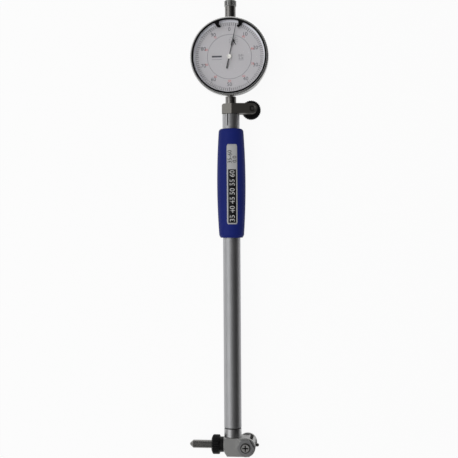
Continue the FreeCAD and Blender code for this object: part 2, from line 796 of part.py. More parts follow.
def make_bridge_springs():
    """Two light springs that push the bridge outwards from its pockets."""
    bars = [
        round_bar(f"BridgeSpring{number}", "X", "bridge_spring_radius", "bridge_spring_start",
                  "web_inner - flat_fit", (f"{sign}bridge_spring_y", f"{sign}bridge_spring_z"))
        for number, sign in enumerate(("", "-"), start=1)
    ]
    seat(fused("BridgeSprings", *bars), "bridge_springs")


# ---------------------------------------------------------------- tube, rod and grip


def make_tube():
    """Long tube from the seal ring up to the sleeve's shoulder."""
    start = "collar_end + seal_width"
    seat(turned_body("Tube", "Y", [
        (start, "tube_bore"),
        (start, "tube_radius - face_chamfer"),
        (f"{start} + face_chamfer", "tube_radius"),
        ("tube_end", "tube_radius"),
        ("tube_end", "tube_bore"),
    ]), "tube")


def make_push_rod():
    """Rod from the crank up to the spindle, with a shoulder for its spring and a flat head."""
    foot = "crank_arm + crank_pad_radius + contact_gap"
    shoulder = "rod_shoulder_start + rod_shoulder_length"
    seat(turned_body("PushRod", "Y", [
        (foot, "0"),
        (foot, "rod_radius - face_chamfer"),
        (f"{foot} + face_chamfer", "rod_radius"),
        ("rod_shoulder_start", "rod_radius"),
        ("rod_shoulder_start", "rod_shoulder_radius"),
        (shoulder, "rod_shoulder_radius"),
        (shoulder, "rod_radius"),
        ("rod_end - rod_head_length", "rod_radius"),
        ("rod_end - rod_head_length", "rod_head_radius"),
        ("rod_end", "rod_head_radius"),
        ("rod_end", "0"),
    ]), "push_rod")
    coil_sleeve("RodSpring", "rod_spring", "Y", "rod_spring_radius", "rod_radius + rod_spring_gap", f"{shoulder} + flat_fit",
                "spring_stop_start - flat_fit")
    for name, label, start in (("RodSpringStop", "rod_spring_stop", "spring_stop_start"),
                               ("UpperRodGuide", "upper_rod_guide", "upper_guide_start")):
        seat(turned_body(name, "Y", [
            (start, "rod_radius + slide_fit"),
            (start, "tube_bore"),
            (f"{start} + bush_length", "tube_bore"),
            (f"{start} + bush_length", "rod_radius + slide_fit"),
        ]), label)


def make_grip():
    """Barrel-shaped hand grip with a narrow rim at its lower end."""
    run = "(grip_end - grip_start - 2 * grip_rim)"
    bulge = "(grip_radius - grip_shoulder_radius)"
    barrel = f"(({run} / 2)^2 + {bulge}^2) / (2 * {bulge})"
    seat(turned_body("Grip", "Y", [
        ("grip_start", "tube_radius"),
        ("grip_start", "grip_face_radius"),
        ("grip_start + grip_rim", "grip_shoulder_radius"),
        ("grip_end - grip_rim", "grip_shoulder_radius", barrel),
        ("grip_end", "grip_face_radius", "1.4 * grip_rim"),
        ("grip_end", "tube_radius"),
    ]), "grip")


def make_collet_sleeve():
    """Sleeve that is pressed into the tube and slit so that it closes on the stem."""
    sleeve = turned_body("SleeveBody", "Y", [
        ("sleeve_spigot_start", "stem_radius + slide_fit"),
        ("sleeve_spigot_start", "tube_bore"),
        ("tube_end", "tube_bore"),
        ("tube_end", "sleeve_radius"),
        ("sleeve_shoulder - face_chamfer", "sleeve_radius"),
        ("sleeve_shoulder", "sleeve_radius - face_chamfer"),
        ("sleeve_shoulder", "collet_neck_radius"),
        ("sleeve_end", "collet_neck_radius"),
        ("sleeve_end", "stem_radius + slide_fit"),
    ])
    slits = []
    for number in range(int(value_of("slit_count"))):
        turn = f"{number} * 360 / slit_count - slit_turn"
        slit = doc.addObject("Part::Box", f"Slit{number + 1}")
        tie(slit, "Length", "slit_width")
        tie(slit, "Width", "sleeve_end + 1 - slit_start")
        tie(slit, "Height", "sleeve_radius + 1")
        slit.Placement.Rotation = ROTATION(VECTOR(0, 1, 0), 1)
        tie(slit, "Placement.Rotation.Angle", turn)
        tie(slit, "Placement.Base.x", f"-slit_width / 2 * cos({turn})")
        tie(slit, "Placement.Base.y", "slit_start")
        tie(slit, "Placement.Base.z", f"slit_width / 2 * sin({turn})")
        slits.append(slit)
    seat(cut_away("ColletSleeve", sleeve, *slits), "collet_sleeve")


# ---------------------------------------------------------------- clamp

CLAMP_MIDDLE = "(clamp_start + clamp_end) / 2"


def make_clamp_ring():
    """Faceted ring with a slotted ear, whose rounded end holds the screw."""
    ring = doc.addObject("PartDesign::Body", "ClampBlank")
    sketch = new_sketch(ring, "XZ_Plane", "ClampPlan")
    draw_outline(sketch, [
        ("clamp_screw_x", "clamp_front"),
        ("0", "clamp_front"),
        ("-clamp_corner_x", "clamp_corner_z"),
        ("-clamp_left", "0"),
        ("-clamp_corner_x", "-clamp_corner_z"),
        ("0", "-clamp_front"),
        ("stem_radius", "-clamp_front"),
        ("clamp_left + ear_step", "-ear_back"),
        ("clamp_screw_x", "-ear_back"),
    ])
    pad = ring.newObject("PartDesign::Pad", "ClampPad")
    pad.Profile = sketch
    tie(pad, "Length", "clamp_end - clamp_start")
    pad.Midplane = True
    ring.Tip = pad
    tie(ring, "Placement.Base.y", CLAMP_MIDDLE)
    corner = doc.addObject("Part::Cone", "ClampCorner")
    tie(corner, "Radius1", "clamp_left + 4 * clamp_height")
    tie(corner, "Radius2", "clamp_left - clamp_chamfer / 2")
    rise = "(4 * clamp_height + clamp_chamfer / 2) * clamp_slope"
    tie(corner, "Height", rise)
    corner.Placement.Rotation = ROTATION(VECTOR(1, 0, 0), -90)
    tie(corner, "Placement.Base.y", f"clamp_end - {rise}")
    coned = doc.addObject("Part::Common", "ClampConed")
    coned.Base = ring
    coned.Tool = fused("ClampBounds", corner, block(
        "ClampEarBounds", ("0", "2 * clamp_screw_x"), ("clamp_start", "clamp_end"),
        ("-2 * clamp_front", "2 * clamp_front")))
    half_height = "(clamp_end - clamp_start) / 2"
    solid = fused("ClampSolid", coned, round_bar(
        "EarEnd", "Z", half_height, "-ear_back", "clamp_front", ("clamp_screw_x", CLAMP_MIDDLE)))
    sink = doc.addObject("Part::Cone", "EarCountersink")
    tie(sink, "Radius1", "clamp_screw_radius + slide_fit")
    tie(sink, "Radius2", "ear_countersink")
    tie(sink, "Height", "ear_countersink - clamp_screw_radius - slide_fit")
    tie(sink, "Placement.Base.x", "clamp_screw_x")
    tie(sink, "Placement.Base.y", CLAMP_MIDDLE)
    tie(sink, "Placement.Base.z", "clamp_front - (ear_countersink - clamp_screw_radius - slide_fit)")
    cuts = [
        round_bar("ClampBore", "Y", "collet_neck_radius", "clamp_start - 1", "clamp_end + 1"),
        block("ClampSlot", ("0", "2 * clamp_screw_x"), ("clamp_start - 1", "clamp_end + 1"),
              ("-ear_slot / 2", "ear_slot / 2")),
        round_bar("ClampScrewHole", "Z", "clamp_screw_radius + slide_fit", "-ear_back - 1", "clamp_front + 1",
                  ("clamp_screw_x", CLAMP_MIDDLE)),
        sink,
    ]
    seat(cut_away("ClampRing", solid, *cuts), "clamp_ring", turn="clamp_turn")


def make_clamp_knob():
    """Knurled knob behind the ear, and the screw that is moulded into it."""
    place = ("clamp_screw_x * cos(clamp_turn)", CLAMP_MIDDLE, "-clamp_screw_x * sin(clamp_turn)")
    knob = turned_body("ClampKnob", "Z", [
        ("-knob_start", "clamp_screw_radius"),
        ("-knob_start", "knob_radius - 2 * face_chamfer"),
        ("-knob_start - 2 * face_chamfer", "knob_radius"),
        ("-knob_end + 2 * face_chamfer", "knob_radius"),
        ("-knob_end", "knob_radius - 2 * face_chamfer"),
        ("-knob_end", "0"),
        ("-knob_end + face_chamfer", "0"),
        ("-knob_end + face_chamfer", "clamp_screw_radius"),
    ])
    flute_rim(knob, "Z", "knob_radius", "flute_depth", "knob_flutes")
    seat(knob, "clamp_knob", *place, turn="clamp_turn")
    seat(turned_body("ClampScrew", "Z", [
        ("-knob_end + face_chamfer", "0"),
        ("-knob_end + face_chamfer", "clamp_screw_radius"),
        ("clamp_front - clamp_screw_recess - face_chamfer", "clamp_screw_radius"),
        ("clamp_front - clamp_screw_recess", "clamp_screw_radius - face_chamfer"),
        ("clamp_front - clamp_screw_recess", "0"),
    ]), "clamp_screw", *place, turn="clamp_turn")


# ---------------------------------------------------------------- indicator, outside

DIAL = ("0", "dial_height", "0")


def make_case():
    """Round case with a web that carries the movement, bored for the stem and the guard tube."""
    rear = "-back_depth + back_cover_thickness"
    inner = "case_radius - case_wall"
    shell = turned_body("CaseBody", "Z", [
        (rear, inner),
        (rear, "case_radius - face_chamfer"),
        (f"{rear} + face_chamfer", "case_radius"),
        ("case_front", "case_radius"),
        ("case_front", inner),
        ("-case_web_front", inner),
        ("-case_web_front", "0"),
        ("-case_web_back", "0"),
        ("-case_web_back", inner),
    ])
    cuts = [
        round_bar("StemHole", "Y", "stem_radius", "-case_radius - 1", "0"),
        round_bar("GuardHole", "Y", "stem_radius", "0", "case_radius + 1"),
        round_bar("DrivePivotHole", "Z", "pivot_radius + running_fit", "-back_depth", "0",
                  ("-drive_x", f"-({DRIVE_Y})")),
    ]
    for index, place in enumerate(back_screw_places(), start=1):
        cuts.append(round_bar(f"BackScrewHole{index}", "Z", "back_screw_radius", rear,
                              f"{rear} + back_screw_length", place))
    seat(cut_away("IndicatorCase", shell, *cuts), "indicator_case", *DIAL)


def back_screw_places():
    """Places of the four screws of the back cover, from the dial's centre."""
    reach = "(case_radius - case_wall / 2)"
    angles = [45 + 90 * quarter for quarter in range(4)]
    return [(f"{reach} * cos({angle})", f"{reach} * sin({angle})") for angle in angles]


def make_back():
    """Flat back cover with its four flush screws."""
    rear = "-back_depth"
    cover = turned_body("BackCover", "Z", [
        (rear, "0"),
        (rear, "back_cover_radius - face_chamfer"),
        (f"{rear} + face_chamfer", "back_cover_radius"),
        (f"{rear} + back_cover_thickness", "back_cover_radius"),
        (f"{rear} + back_cover_thickness", "0"),
    ])
    holes, screws = [], []
    for index, place in enumerate(back_screw_places(), start=1):
        holes.append(round_bar(f"CoverHole{index}", "Z", "back_screw_radius", "-back_depth - 1",
                               "-back_depth + back_cover_thickness + 1", place))
        screws.append(round_bar(f"BackScrew{index}", "Z", "back_screw_radius", "-back_depth + flat_fit",
                                "-back_depth + back_cover_thickness + back_screw_length", place))
    seat(cut_away("CaseBack", cover, *holes), "case_back", *DIAL)
    seat(fused("BackScrews", *screws), "back_screws", *DIAL)


def make_stem_and_guard():
    """Stem below the case and guard tube above it, each with a bush for the spindle."""
    inner = "case_radius - case_wall"
    seat(turned_body("Stem", "Y", [
        ("stem_start", "stem_bore"),
        ("stem_start", "stem_radius - face_chamfer"),
        ("stem_start + face_chamfer", "stem_radius"),
        (f"dial_height - {inner}", "stem_radius"),
        (f"dial_height - {inner}", "stem_bore"),
    ]), "stem")
    seat(turned_body("GuardTube", "Y", [
        (f"dial_height + {inner}", "stem_bore"),
        (f"dial_height + {inner}", "stem_radius"),
        ("guard_end", "stem_radius"),
        ("guard_end", "guard_spigot_radius"),
        ("guard_end + guard_spigot_length", "guard_spigot_radius"),
        ("guard_end + guard_spigot_length", "stem_bore"),
    ]), "guard_tube")
    for name, label, start in (("LowerSpindleBush", "lower_spindle_bush", "stem_start"),
                               ("UpperSpindleBush", "upper_spindle_bush", f"dial_height + {inner}")):
        seat(turned_body(name, "Y", [
            (start, "spindle_radius + running_fit"),
            (start, "stem_bore"),
            (f"{start} + spindle_bush_length", "stem_bore"),
            (f"{start} + spindle_bush_length", "spindle_radius + running_fit"),
        ]), label)


def make_guard_cap():
    """Knurled cap with a short dome, pushed over the guard tube's spigot."""
    top = "guard_end + guard_spigot_length"
    cap = turned_body("GuardCap", "Y", [
        ("guard_end", "guard_spigot_radius"),
        ("guard_end", "cap_radius - face_chamfer"),
        ("guard_end + face_chamfer", "cap_radius"),
        ("cap_knurl_end - face_chamfer", "cap_radius"),
        ("cap_knurl_end", "cap_radius - face_chamfer"),
        ("cap_knurl_end", "cap_dome_radius"),
        ("cap_end - cap_dome_height", "cap_dome_radius"),
        ("cap_end", "0", "(cap_dome_radius^2 + cap_dome_height^2) / (2 * cap_dome_height)"),
        (f"{top} + cap_clearance", "0"),
        (f"{top} + cap_clearance", "guard_spigot_radius"),
    ])
    flute_rim(cap, "Y", "cap_radius", "flute_depth", "cap_flutes")
    seat(cap, "guard_cap")


def make_bezel():
    """Fluted bezel that turns on the case and carries the scale ring and the crystal."""
    bezel = turned_body("Bezel", "Z", [
        ("bezel_start", "case_radius + slide_fit"),
        ("bezel_start", "bezel_radius - face_chamfer"),
        ("bezel_start + face_chamfer", "bezel_radius"),
        ("bezel_end - 2 * face_chamfer", "bezel_radius"),
        ("bezel_end", "bezel_radius - 2 * face_chamfer"),
        ("bezel_end", "crystal_radius"),
        ("crystal_seat", "crystal_radius"),
        ("crystal_seat", "dial_seat_radius"),
        ("bezel_ledge_end", "dial_seat_radius"),
        ("bezel_ledge_end", "bezel_ledge_radius"),
        ("case_front + face_chamfer", "bezel_ledge_radius"),
        ("case_front + face_chamfer", "case_radius + slide_fit"),
    ])
    flute_rim(bezel, "Z", "bezel_radius", "bezel_flute_depth", "bezel_flutes")
    seat(bezel, "bezel", *DIAL)


def make_front_glass():
    """Crystal, and the black ring that keeps it and guides the limit markers."""
    top = "crystal_seat + crystal_thickness"
    seat(turned_body("Crystal", "Z", [
        ("crystal_seat", "0"),
        ("crystal_seat", "crystal_radius"),
        (top, "crystal_radius"),
        (top, "0"),
    ]), "crystal", *DIAL)
    seat(turned_body("BezelRing", "Z", [
        (top, "ring_groove_radius"),
        (top, "crystal_radius"),
        (f"{top} + ring_outer_height - face_chamfer", "crystal_radius"),
        (f"{top} + ring_outer_height", "crystal_radius - face_chamfer"),
        (f"{top} + ring_inner_height", "ring_inner_radius"),
        (f"{top} + ring_groove_height", "ring_inner_radius"),
        (f"{top} + ring_groove_height", "ring_groove_radius"),
    ]), "bezel_ring", *DIAL)


def make_dial():
    """Scale ring that turns with the bezel, and the fixed centre disc on its four feet."""
    seat(turned_body("DialRing", "Z", [
        ("bezel_ledge_end", "dial_centre_radius + slide_fit"),
        ("bezel_ledge_end", "dial_seat_radius"),
        ("dial_front", "dial_seat_radius"),
        ("dial_front", "dial_centre_radius + slide_fit"),
    ]), "dial_ring", *DIAL)
    disc = round_bar("DialDisc", "Z", "dial_centre_radius", "bezel_ledge_end", "dial_front")
    feet = [
        round_bar(f"DialFoot{index}", "Z", "pillar_radius / 2", "front_plate_front", "bezel_ledge_end",
                  (f"dial_centre_radius * dial_foot_share * cos({angle})",
                   f"dial_centre_radius * dial_foot_share * sin({angle})"))
        for index, angle in enumerate((20 + 90 * quarter for quarter in range(4)), start=1)
    ]
    holes = [
        round_bar("CentreHole", "Z", "dial_hole_radius", "0", "dial_front + 1"),
        round_bar("CounterHole", "Z", "dial_hole_radius", "0", "dial_front + 1", ("drive_x", DRIVE_Y)),
    ]
    seat(cut_away("DialCentre", fused("DialSolid", disc, *feet), *holes), "dial_centre", *DIAL)


def marker_shape(side):
    """Flat marker: a foot that follows the ring's groove and a finger hooked towards the middle."""
    outer = value_of("ring_groove_radius - running_fit")
    inner = value_of("ring_inner_radius - flat_fit")
    tip = value_of("marker_tip_radius")
    depth = inner - tip
    half = math.degrees(value_of("marker_width") / 2 / inner)
    middle = 90 + side * value_of("marker_turn")
    back, front = side * half, -side * half
    foot = [polar(outer, middle + back * share) for share in (1.25, 0.75, 0.25, -0.25, -0.75, -1.25)]
    finger = [
        polar(inner, middle + front * 1.25), polar(inner, middle + front),
        polar(tip + depth * 0.45, middle + front * 0.55),
        polar(tip + depth * 0.23, middle + front * 1.15),
        polar(tip + depth * 0.035, middle + front * 1.05),
        polar(tip, middle + front * 0.45),
        polar(tip + depth * 0.115, middle + back * 0.25),
        polar(tip + depth * 0.4, middle + back * 0.75),
        polar(inner, middle + back), polar(inner, middle + back * 1.25),
    ]
    start = value_of("crystal_seat + crystal_thickness + flat_fit")
    return raised("marker", foot + finger, start, start + value_of("marker_thickness"))


def make_markers():
    """Two limit markers in the groove of the black ring."""
    for name, label, side in (("MarkerLeft", "limit_marker_left", 1), ("MarkerRight", "limit_marker_right", -1)):
        seat(shape_feature(name, marker_shape(side)), label, *DIAL)


# ---------------------------------------------------------------- indicator, inside

# Height of the counter staff above the dial's centre: both gear trains mesh with the centre pinion.
GEAR_DISTANCE = "gear_module * (gear_teeth + centre_teeth) / 2"
DRIVE_Y = f"sqrt(({GEAR_DISTANCE})^2 - drive_x^2)"


def make_spindle():
    """Round spindle with a rack along its left side, and its contact point."""
    spindle = turned_body("Spindle", "Y", [
        ("spindle_start", "0"),
        ("spindle_start", "spindle_radius"),
        ("spindle_end - face_chamfer", "spindle_radius"),
        ("spindle_end", "spindle_radius - face_chamfer"),
        ("spindle_end", "0"),
    ])
    rack_module = "rack_pitch / pi"
    pitch_line = f"(-drive_x + pinion_teeth * {rack_module} / 2)"
    tip_line = f"({pitch_line} - {rack_module})"
    root_line = f"({pitch_line} + {TOOTH_DEDENDUM} * {rack_module})"
    middle = f"(dial_height - {DRIVE_Y})"
    length = "rack_pitch * (rack_teeth + 1)"
    cut_through(spindle, "XY_Plane", "RackFlat", [
        (tip_line, f"{middle} - {length} / 2"),
        (tip_line, f"{middle} + {length} / 2"),
        ("-2 * spindle_radius", f"{middle} + {length} / 2"),
        ("-2 * spindle_radius", f"{middle} - {length} / 2"),
    ])
    first = f"({middle} - rack_pitch * (rack_teeth - 1) / 2)"
    gap = cut_through(spindle, "XY_Plane", "RackGap", [
        (root_line, f"{first} - rack_pitch * {RACK_ROOT_SHARE}"),
        (root_line, f"{first} + rack_pitch * {RACK_ROOT_SHARE}"),
        (f"{tip_line} - slide_fit", f"{first} + rack_pitch * {RACK_TIP_SHARE}"),
        (f"{tip_line} - slide_fit", f"{first} - rack_pitch * {RACK_TIP_SHARE}"),
    ])
    rack = spindle.newObject("PartDesign::LinearPattern", "Rack")
    rack.Originals = [gap]
    rack.Direction = (next(f for f in spindle.Origin.OriginFeatures if f.Role == "Y_Axis"), [""])
    tie(rack, "Length", "rack_pitch * (rack_teeth - 1)")
    tie(rack, "Occurrences", "rack_teeth")
    spindle.Tip = rack
    seat(spindle, "spindle")
    seat(turned_body("ContactPoint", "Y", [
        ("contact_start", "0"),
        ("contact_start + contact_radius", "contact_radius", "contact_radius"),
        ("spindle_start", "contact_radius"),
        ("spindle_start", "0"),
    ]), "contact_point")


def make_guide():
    """Pin across the spindle, and the rail on the web whose slot keeps the spindle from turning."""
    height = "guide_pin_rise"
    seat(round_bar("GuidePin", "X", "guide_pin_radius", "spindle_radius", "guide_pin_end"), "guide_pin",
         "spindle_radius", f"dial_height + {height}", "0")
    rail = block("RailBlock", ("guide_rail_start", "guide_rail_end"),
                 (f"{height} - guide_rail_length / 2", f"{height} + guide_rail_length / 2"),
                 ("-case_web_front", "middle_plate_back"))
    slot = block("RailSlot", ("guide_rail_start - 1", "guide_rail_end + 1"),
                 (f"{height} - guide_rail_length / 2 + guide_rail_wall",
                  f"{height} + guide_rail_length / 2 - guide_rail_wall"),
                 ("-guide_pin_radius - slide_fit", "guide_pin_radius + slide_fit"))
    seat(cut_away("GuideRail", rail, slot), "guide_rail", *DIAL)


PILLAR_ANGLES = (-13, 167, -64, 116)


def pillar_places():
    """Places of the plate pillars from the dial's centre."""
    return [(f"pillar_circle * cos({angle})", f"pillar_circle * sin({angle})") for angle in PILLAR_ANGLES]


def make_plates():
    """Middle and front plate on four pillars, with the screws that hold them down."""
    staffs = {
        "Drive": ("-drive_x", f"-({DRIVE_Y})"),
        "Centre": ("0", "0"),
        "Counter": ("drive_x", DRIVE_Y),
    }
    plates = {
        "MiddlePlate": ("middle_plate", "middle_plate_back", "middle_plate_front",
                        {"Drive": "staff_radius + slide_fit", "Centre": "pivot_radius + running_fit",
                         "Counter": "pivot_radius + running_fit"}),
        "FrontPlate": ("front_plate", "front_plate_back", "front_plate_front",
                       {"Drive": "pivot_radius + running_fit", "Centre": "staff_radius + running_fit",
                        "Counter": "staff_radius + running_fit"}),
    }
    for name, (label, back, front, bores) in plates.items():
        disc = round_bar(f"{name}Disc", "Z", "plate_radius", back, front)
        holes = [
            round_bar(f"{name}{staff}Hole", "Z", radius, f"{back} - 1", f"{front} + 1", staffs[staff])
            for staff, radius in bores.items()
        ]
        holes += [
            round_bar(f"{name}ScrewHole{index}", "Z", "plate_screw_radius / 2", f"{back} - 1", f"{front} + 1", place)
            for index, place in enumerate(pillar_places(), start=1)
        ]
        seat(cut_away(name, disc, *holes), label, *DIAL)
    pillars, screws = [], []
    for index, place in enumerate(pillar_places(), start=1):
        for part, (start, end) in {"Lower": ("-case_web_front", "middle_plate_back"),
                                   "Upper": ("middle_plate_front", "front_plate_back")}.items():
            post = round_bar(f"Pillar{part}{index}", "Z", "pillar_radius", start, end, place)
            hole = round_bar(f"PillarHole{part}{index}", "Z", "plate_screw_radius / 2", f"{start} + plate_screw_depth" if
                             part == "Lower" else start, end, place)
            pillars.append(cut_away(f"PillarPost{part}{index}", post, hole))
        shank = round_bar(f"PlateScrewShank{index}", "Z", "plate_screw_radius / 2", "-case_web_front + plate_screw_depth",
                          "front_plate_front", place)
        top = round_bar(f"PlateScrewHead{index}", "Z", "plate_screw_radius", "front_plate_front",
                        "front_plate_front + plate_screw_head", place)
        screws.append(fused(f"PlateScrew{index}", shank, top))
    seat(fused("PlatePillars", *pillars), "plate_pillars", *DIAL)
    seat(fused("PlateScrews", *screws), "plate_screws", *DIAL)


def staff_shape(stations):
    """Turned staff from (start, end, radius) runs, all formulas, along Z."""
    runs = [
        Part.makeCylinder(value_of(radius), value_of(end) - value_of(start), VECTOR(0, 0, value_of(start)))
        for start, end, radius in stations
    ]
    return runs[0].multiFuse(runs[1:]).removeSplitter() if len(runs) > 1 else runs[0]


def make_gear_train():
    """Rack pinion and drive gear, centre pinion, and take-up gear, which all mesh at rest."""
    module, teeth = value_of("gear_module"), int(value_of("gear_teeth"))
    centre_teeth, pinion_teeth = int(value_of("centre_teeth")), int(value_of("pinion_teeth"))
    back, front = value_of("gear_back"), value_of("gear_back + gear_thickness")
    staff = value_of("staff_radius")
    drive = ("-drive_x", f"dial_height - ({DRIVE_Y})", "0")
    counter = ("drive_x", f"dial_height + {DRIVE_Y}", "0")
    to_centre = math.degrees(math.atan2(value_of(DRIVE_Y), value_of("drive_x")))

    rack_pinion = gear_shape(pinion_teeth, value_of("rack_pitch") / math.pi, staff,
                             value_of("-rack_pinion_width / 2"), value_of("rack_pinion_width / 2"), 0.0)
    rack_staff = staff_shape([
        ("-case_web_back + 2 * flat_fit", "-case_web_front + 2 * flat_fit", "pivot_radius"),
        ("-case_web_front + 2 * flat_fit", "gear_back + gear_thickness + 3 * flat_fit", "staff_radius"),
        ("gear_back + gear_thickness + 3 * flat_fit", "front_plate_front - flat_fit", "pivot_radius"),
    ])
    seat(shape_feature("RackPinion", rack_staff.fuse(rack_pinion).removeSplitter()), "rack_pinion", *drive)
    seat(shape_feature("DriveGear", gear_shape(teeth, module, staff, back, front, to_centre)),
         "drive_gear", *drive)

    margin = value_of("centre_pinion_margin")
    centre_gear = gear_shape(centre_teeth, module, staff, back - margin, front + margin,
                             to_centre + 180 + 180 / centre_teeth)
    centre_staff = staff_shape([
        ("middle_plate_back + flat_fit", "middle_plate_front + flat_fit", "pivot_radius"),
        ("middle_plate_front + flat_fit", "pointer_back", "staff_radius"),
    ])
    seat(shape_feature("CentrePinion", centre_staff.fuse(centre_gear).removeSplitter()), "centre_pinion", *DIAL)

    takeup_staff = staff_shape([
        ("middle_plate_back + flat_fit", "middle_plate_front + flat_fit", "pivot_radius"),
        ("middle_plate_front + flat_fit", "hand_back", "staff_radius"),
    ])
    seat(shape_feature("TakeupStaff", takeup_staff), "takeup_staff", *counter)
    seat(shape_feature("TakeupGear", gear_shape(teeth, module, staff, back, front, to_centre + 180)),
         "takeup_gear", *counter)
    foot = VECTOR(0, 0, value_of("front_plate_front + hairspring_rise"))
    width = value_of("hairspring_width")
    spring = Part.makeCylinder(value_of("hairspring_radius"), width, foot).cut(Part.makeCylinder(staff, width, foot))
    seat(shape_feature("Hairspring", spring), "hairspring", *counter)


def hand_outline(length, tail, leaf_half):
    """Blade that points along +Y, as wide at its tail as at its leaf, and half as wide at its root."""
    root_half, tip_half = f"{leaf_half} / 2", f"{leaf_half} / 5"
    right = [
        (leaf_half, f"-{tail}"),
        (root_half, "0"),
        (root_half, f"{length} * 0.28"),
        (leaf_half, f"{length} * 0.4"),
        (root_half, f"{length} * 0.58"),
        (tip_half, length),
    ]
    left = [(f"-{x}", y) for x, y in reversed(right)]
    return right + left


def make_hand(name, label, hub_radius, back, thickness, outline, turn, place):
    """Flat hand with a round hub, turned clockwise from twelve o'clock."""
    body = padded_body(f"{name}Body", "XY_Plane", outline, back, thickness)
    hub = round_bar(f"{name}Hub", "Z", hub_radius, back, f"{back} + 2 * {thickness}")
    hand = fused(name, body, hub)
    hand.Placement.Rotation = ROTATION(VECTOR(0, 0, -1), 1)
    tie(hand, "Placement.Rotation.Angle", turn)
    seat(hand, label, *place)


def make_hands():
    """Long pointer on the centre staff and the small counter hand on the take-up staff."""
    pointer = hand_outline("pointer_length", "pointer_tail", "pointer_leaf_half")
    make_hand("Pointer", "pointer", "pointer_hub_radius", "pointer_back", "pointer_thickness", pointer,
              "pointer_turn", DIAL)
    counter = ("drive_x", f"dial_height + {DRIVE_Y}", "0")
    hand = hand_outline("hand_length", "hand_length / 4", "hand_leaf_half")
    make_hand("CounterHand", "counter_hand", "staff_radius * 1.8", "hand_back", "hand_thickness", hand,
              "hand_turn", counter)


def make_return_spring():
    """Sleeve that stands for the light spring between the guide pin and a pillar."""
    angle = PILLAR_ANGLES[2]
    start = VECTOR(value_of(f"pillar_circle * cos({angle})"), value_of(f"pillar_circle * sin({angle})"), 0)
    end = VECTOR(value_of("guide_pin_end - guide_pin_radius"), value_of("guide_pin_rise"), 0)
    run = end - start
    gap = value_of("pillar_radius + flat_fit")
    length = run.Length - gap - value_of("guide_pin_radius + flat_fit")
    spring = Part.makeCylinder(value_of("return_spring_radius"), length, start + run.normalize() * gap, run)
    seat(shape_feature("ReturnSpring", spring), "return_spring", *DIAL)


make_head_block()
make_neck_rings()
make_anvil()
make_lock_nut()
make_plunger()
make_bell_crank()
make_bridge()
make_bridge_screw("Near", 1)
make_bridge_screw("Far", -1)
make_bridge_springs()
make_tube()
make_push_rod()
make_grip()
make_collet_sleeve()
make_clamp_ring()
make_clamp_knob()
make_case()
make_back()
make_stem_and_guard()
make_guard_cap()
make_bezel()
make_front_glass()
make_dial()
make_markers()
make_spindle()
make_guide()
make_plates()
make_gear_train()
make_hands()
make_return_spring()
doc.recompute()

failed = [thing.Name for thing in doc.Objects if {"Invalid", "Error"} & set(thing.State)]
if failed:
    raise RuntimeError(f"objects that failed: {failed}")
for node in NODES:
    if node.Shape.isNull() or not node.Shape.isValid() or not node.Shape.Solids:
        raise RuntimeError(f"{node.Label} has no valid solid")

os.makedirs("parts", exist_ok=True)
for node in NODES:
    node.Shape.exportStep(f"parts/{node.Label}.step")
print(f"{len(NODES)} sub-parts written")
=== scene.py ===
"""Dial bore gauge: finishes, printed dial, grip label, wound springs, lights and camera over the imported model."""
import json
import logging
import math
from dataclasses import dataclass
from enum import Enum

import bpy
import numpy as np
from mathutils import Matrix, Vector


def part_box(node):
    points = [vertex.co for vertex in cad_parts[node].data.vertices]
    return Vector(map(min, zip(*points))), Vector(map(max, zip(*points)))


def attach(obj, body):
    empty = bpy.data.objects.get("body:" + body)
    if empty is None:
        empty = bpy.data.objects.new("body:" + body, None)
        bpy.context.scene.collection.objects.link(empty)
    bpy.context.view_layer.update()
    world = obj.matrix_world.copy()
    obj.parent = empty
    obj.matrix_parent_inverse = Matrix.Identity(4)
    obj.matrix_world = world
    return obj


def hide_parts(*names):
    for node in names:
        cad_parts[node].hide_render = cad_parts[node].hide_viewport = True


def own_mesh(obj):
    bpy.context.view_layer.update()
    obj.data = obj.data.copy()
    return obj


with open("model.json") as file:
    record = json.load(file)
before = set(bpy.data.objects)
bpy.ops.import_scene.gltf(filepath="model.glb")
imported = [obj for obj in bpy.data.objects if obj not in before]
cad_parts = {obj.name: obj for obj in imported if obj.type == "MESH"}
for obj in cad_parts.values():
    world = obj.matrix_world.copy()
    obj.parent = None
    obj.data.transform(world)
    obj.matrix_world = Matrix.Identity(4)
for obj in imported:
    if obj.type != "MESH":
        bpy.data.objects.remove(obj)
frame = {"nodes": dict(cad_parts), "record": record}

log = logging.getLogger("bore_gauge")
MM = 0.001
MARK_DEPTH = 0.00004
GRAIN_DEPTH = 0.00005
SMUDGE_TINT, MARK_TINT = 0.16, 0.22
WORN_SHARE = 0.72
HAZE_SHARE = 0.8
MOTTLE_SCALE = 70.0
BROAD_SHARE = 0.7
COAT_SPREAD = 0.14
COAT_ROUGHNESS = 0.12
FONT_HEIGHT = 0.70
BRIDGE_COIL, BRIDGE_TRAVEL, ROD_TRAVEL = 1.1 * MM, 2.0 * MM, 1.4 * MM


class Axis(Enum):
    """Direction that a turned or ground piece was worked along."""

    X = 0
    Y = 1
    Z = 2


class Pattern(Enum):
    """How the fine marks of working lie on a metal surface."""

    TURNED = "rings round the axis"
    GROUND = "straight lines along the axis"
    CAST = "even fine grain"


# ---------------------------------------------------------------- shader helpers


def link(tree: bpy.types.NodeTree, source: bpy.types.NodeSocket, target: bpy.types.NodeSocket) -> None:
    """Join two sockets."""
    tree.links.new(source, target)


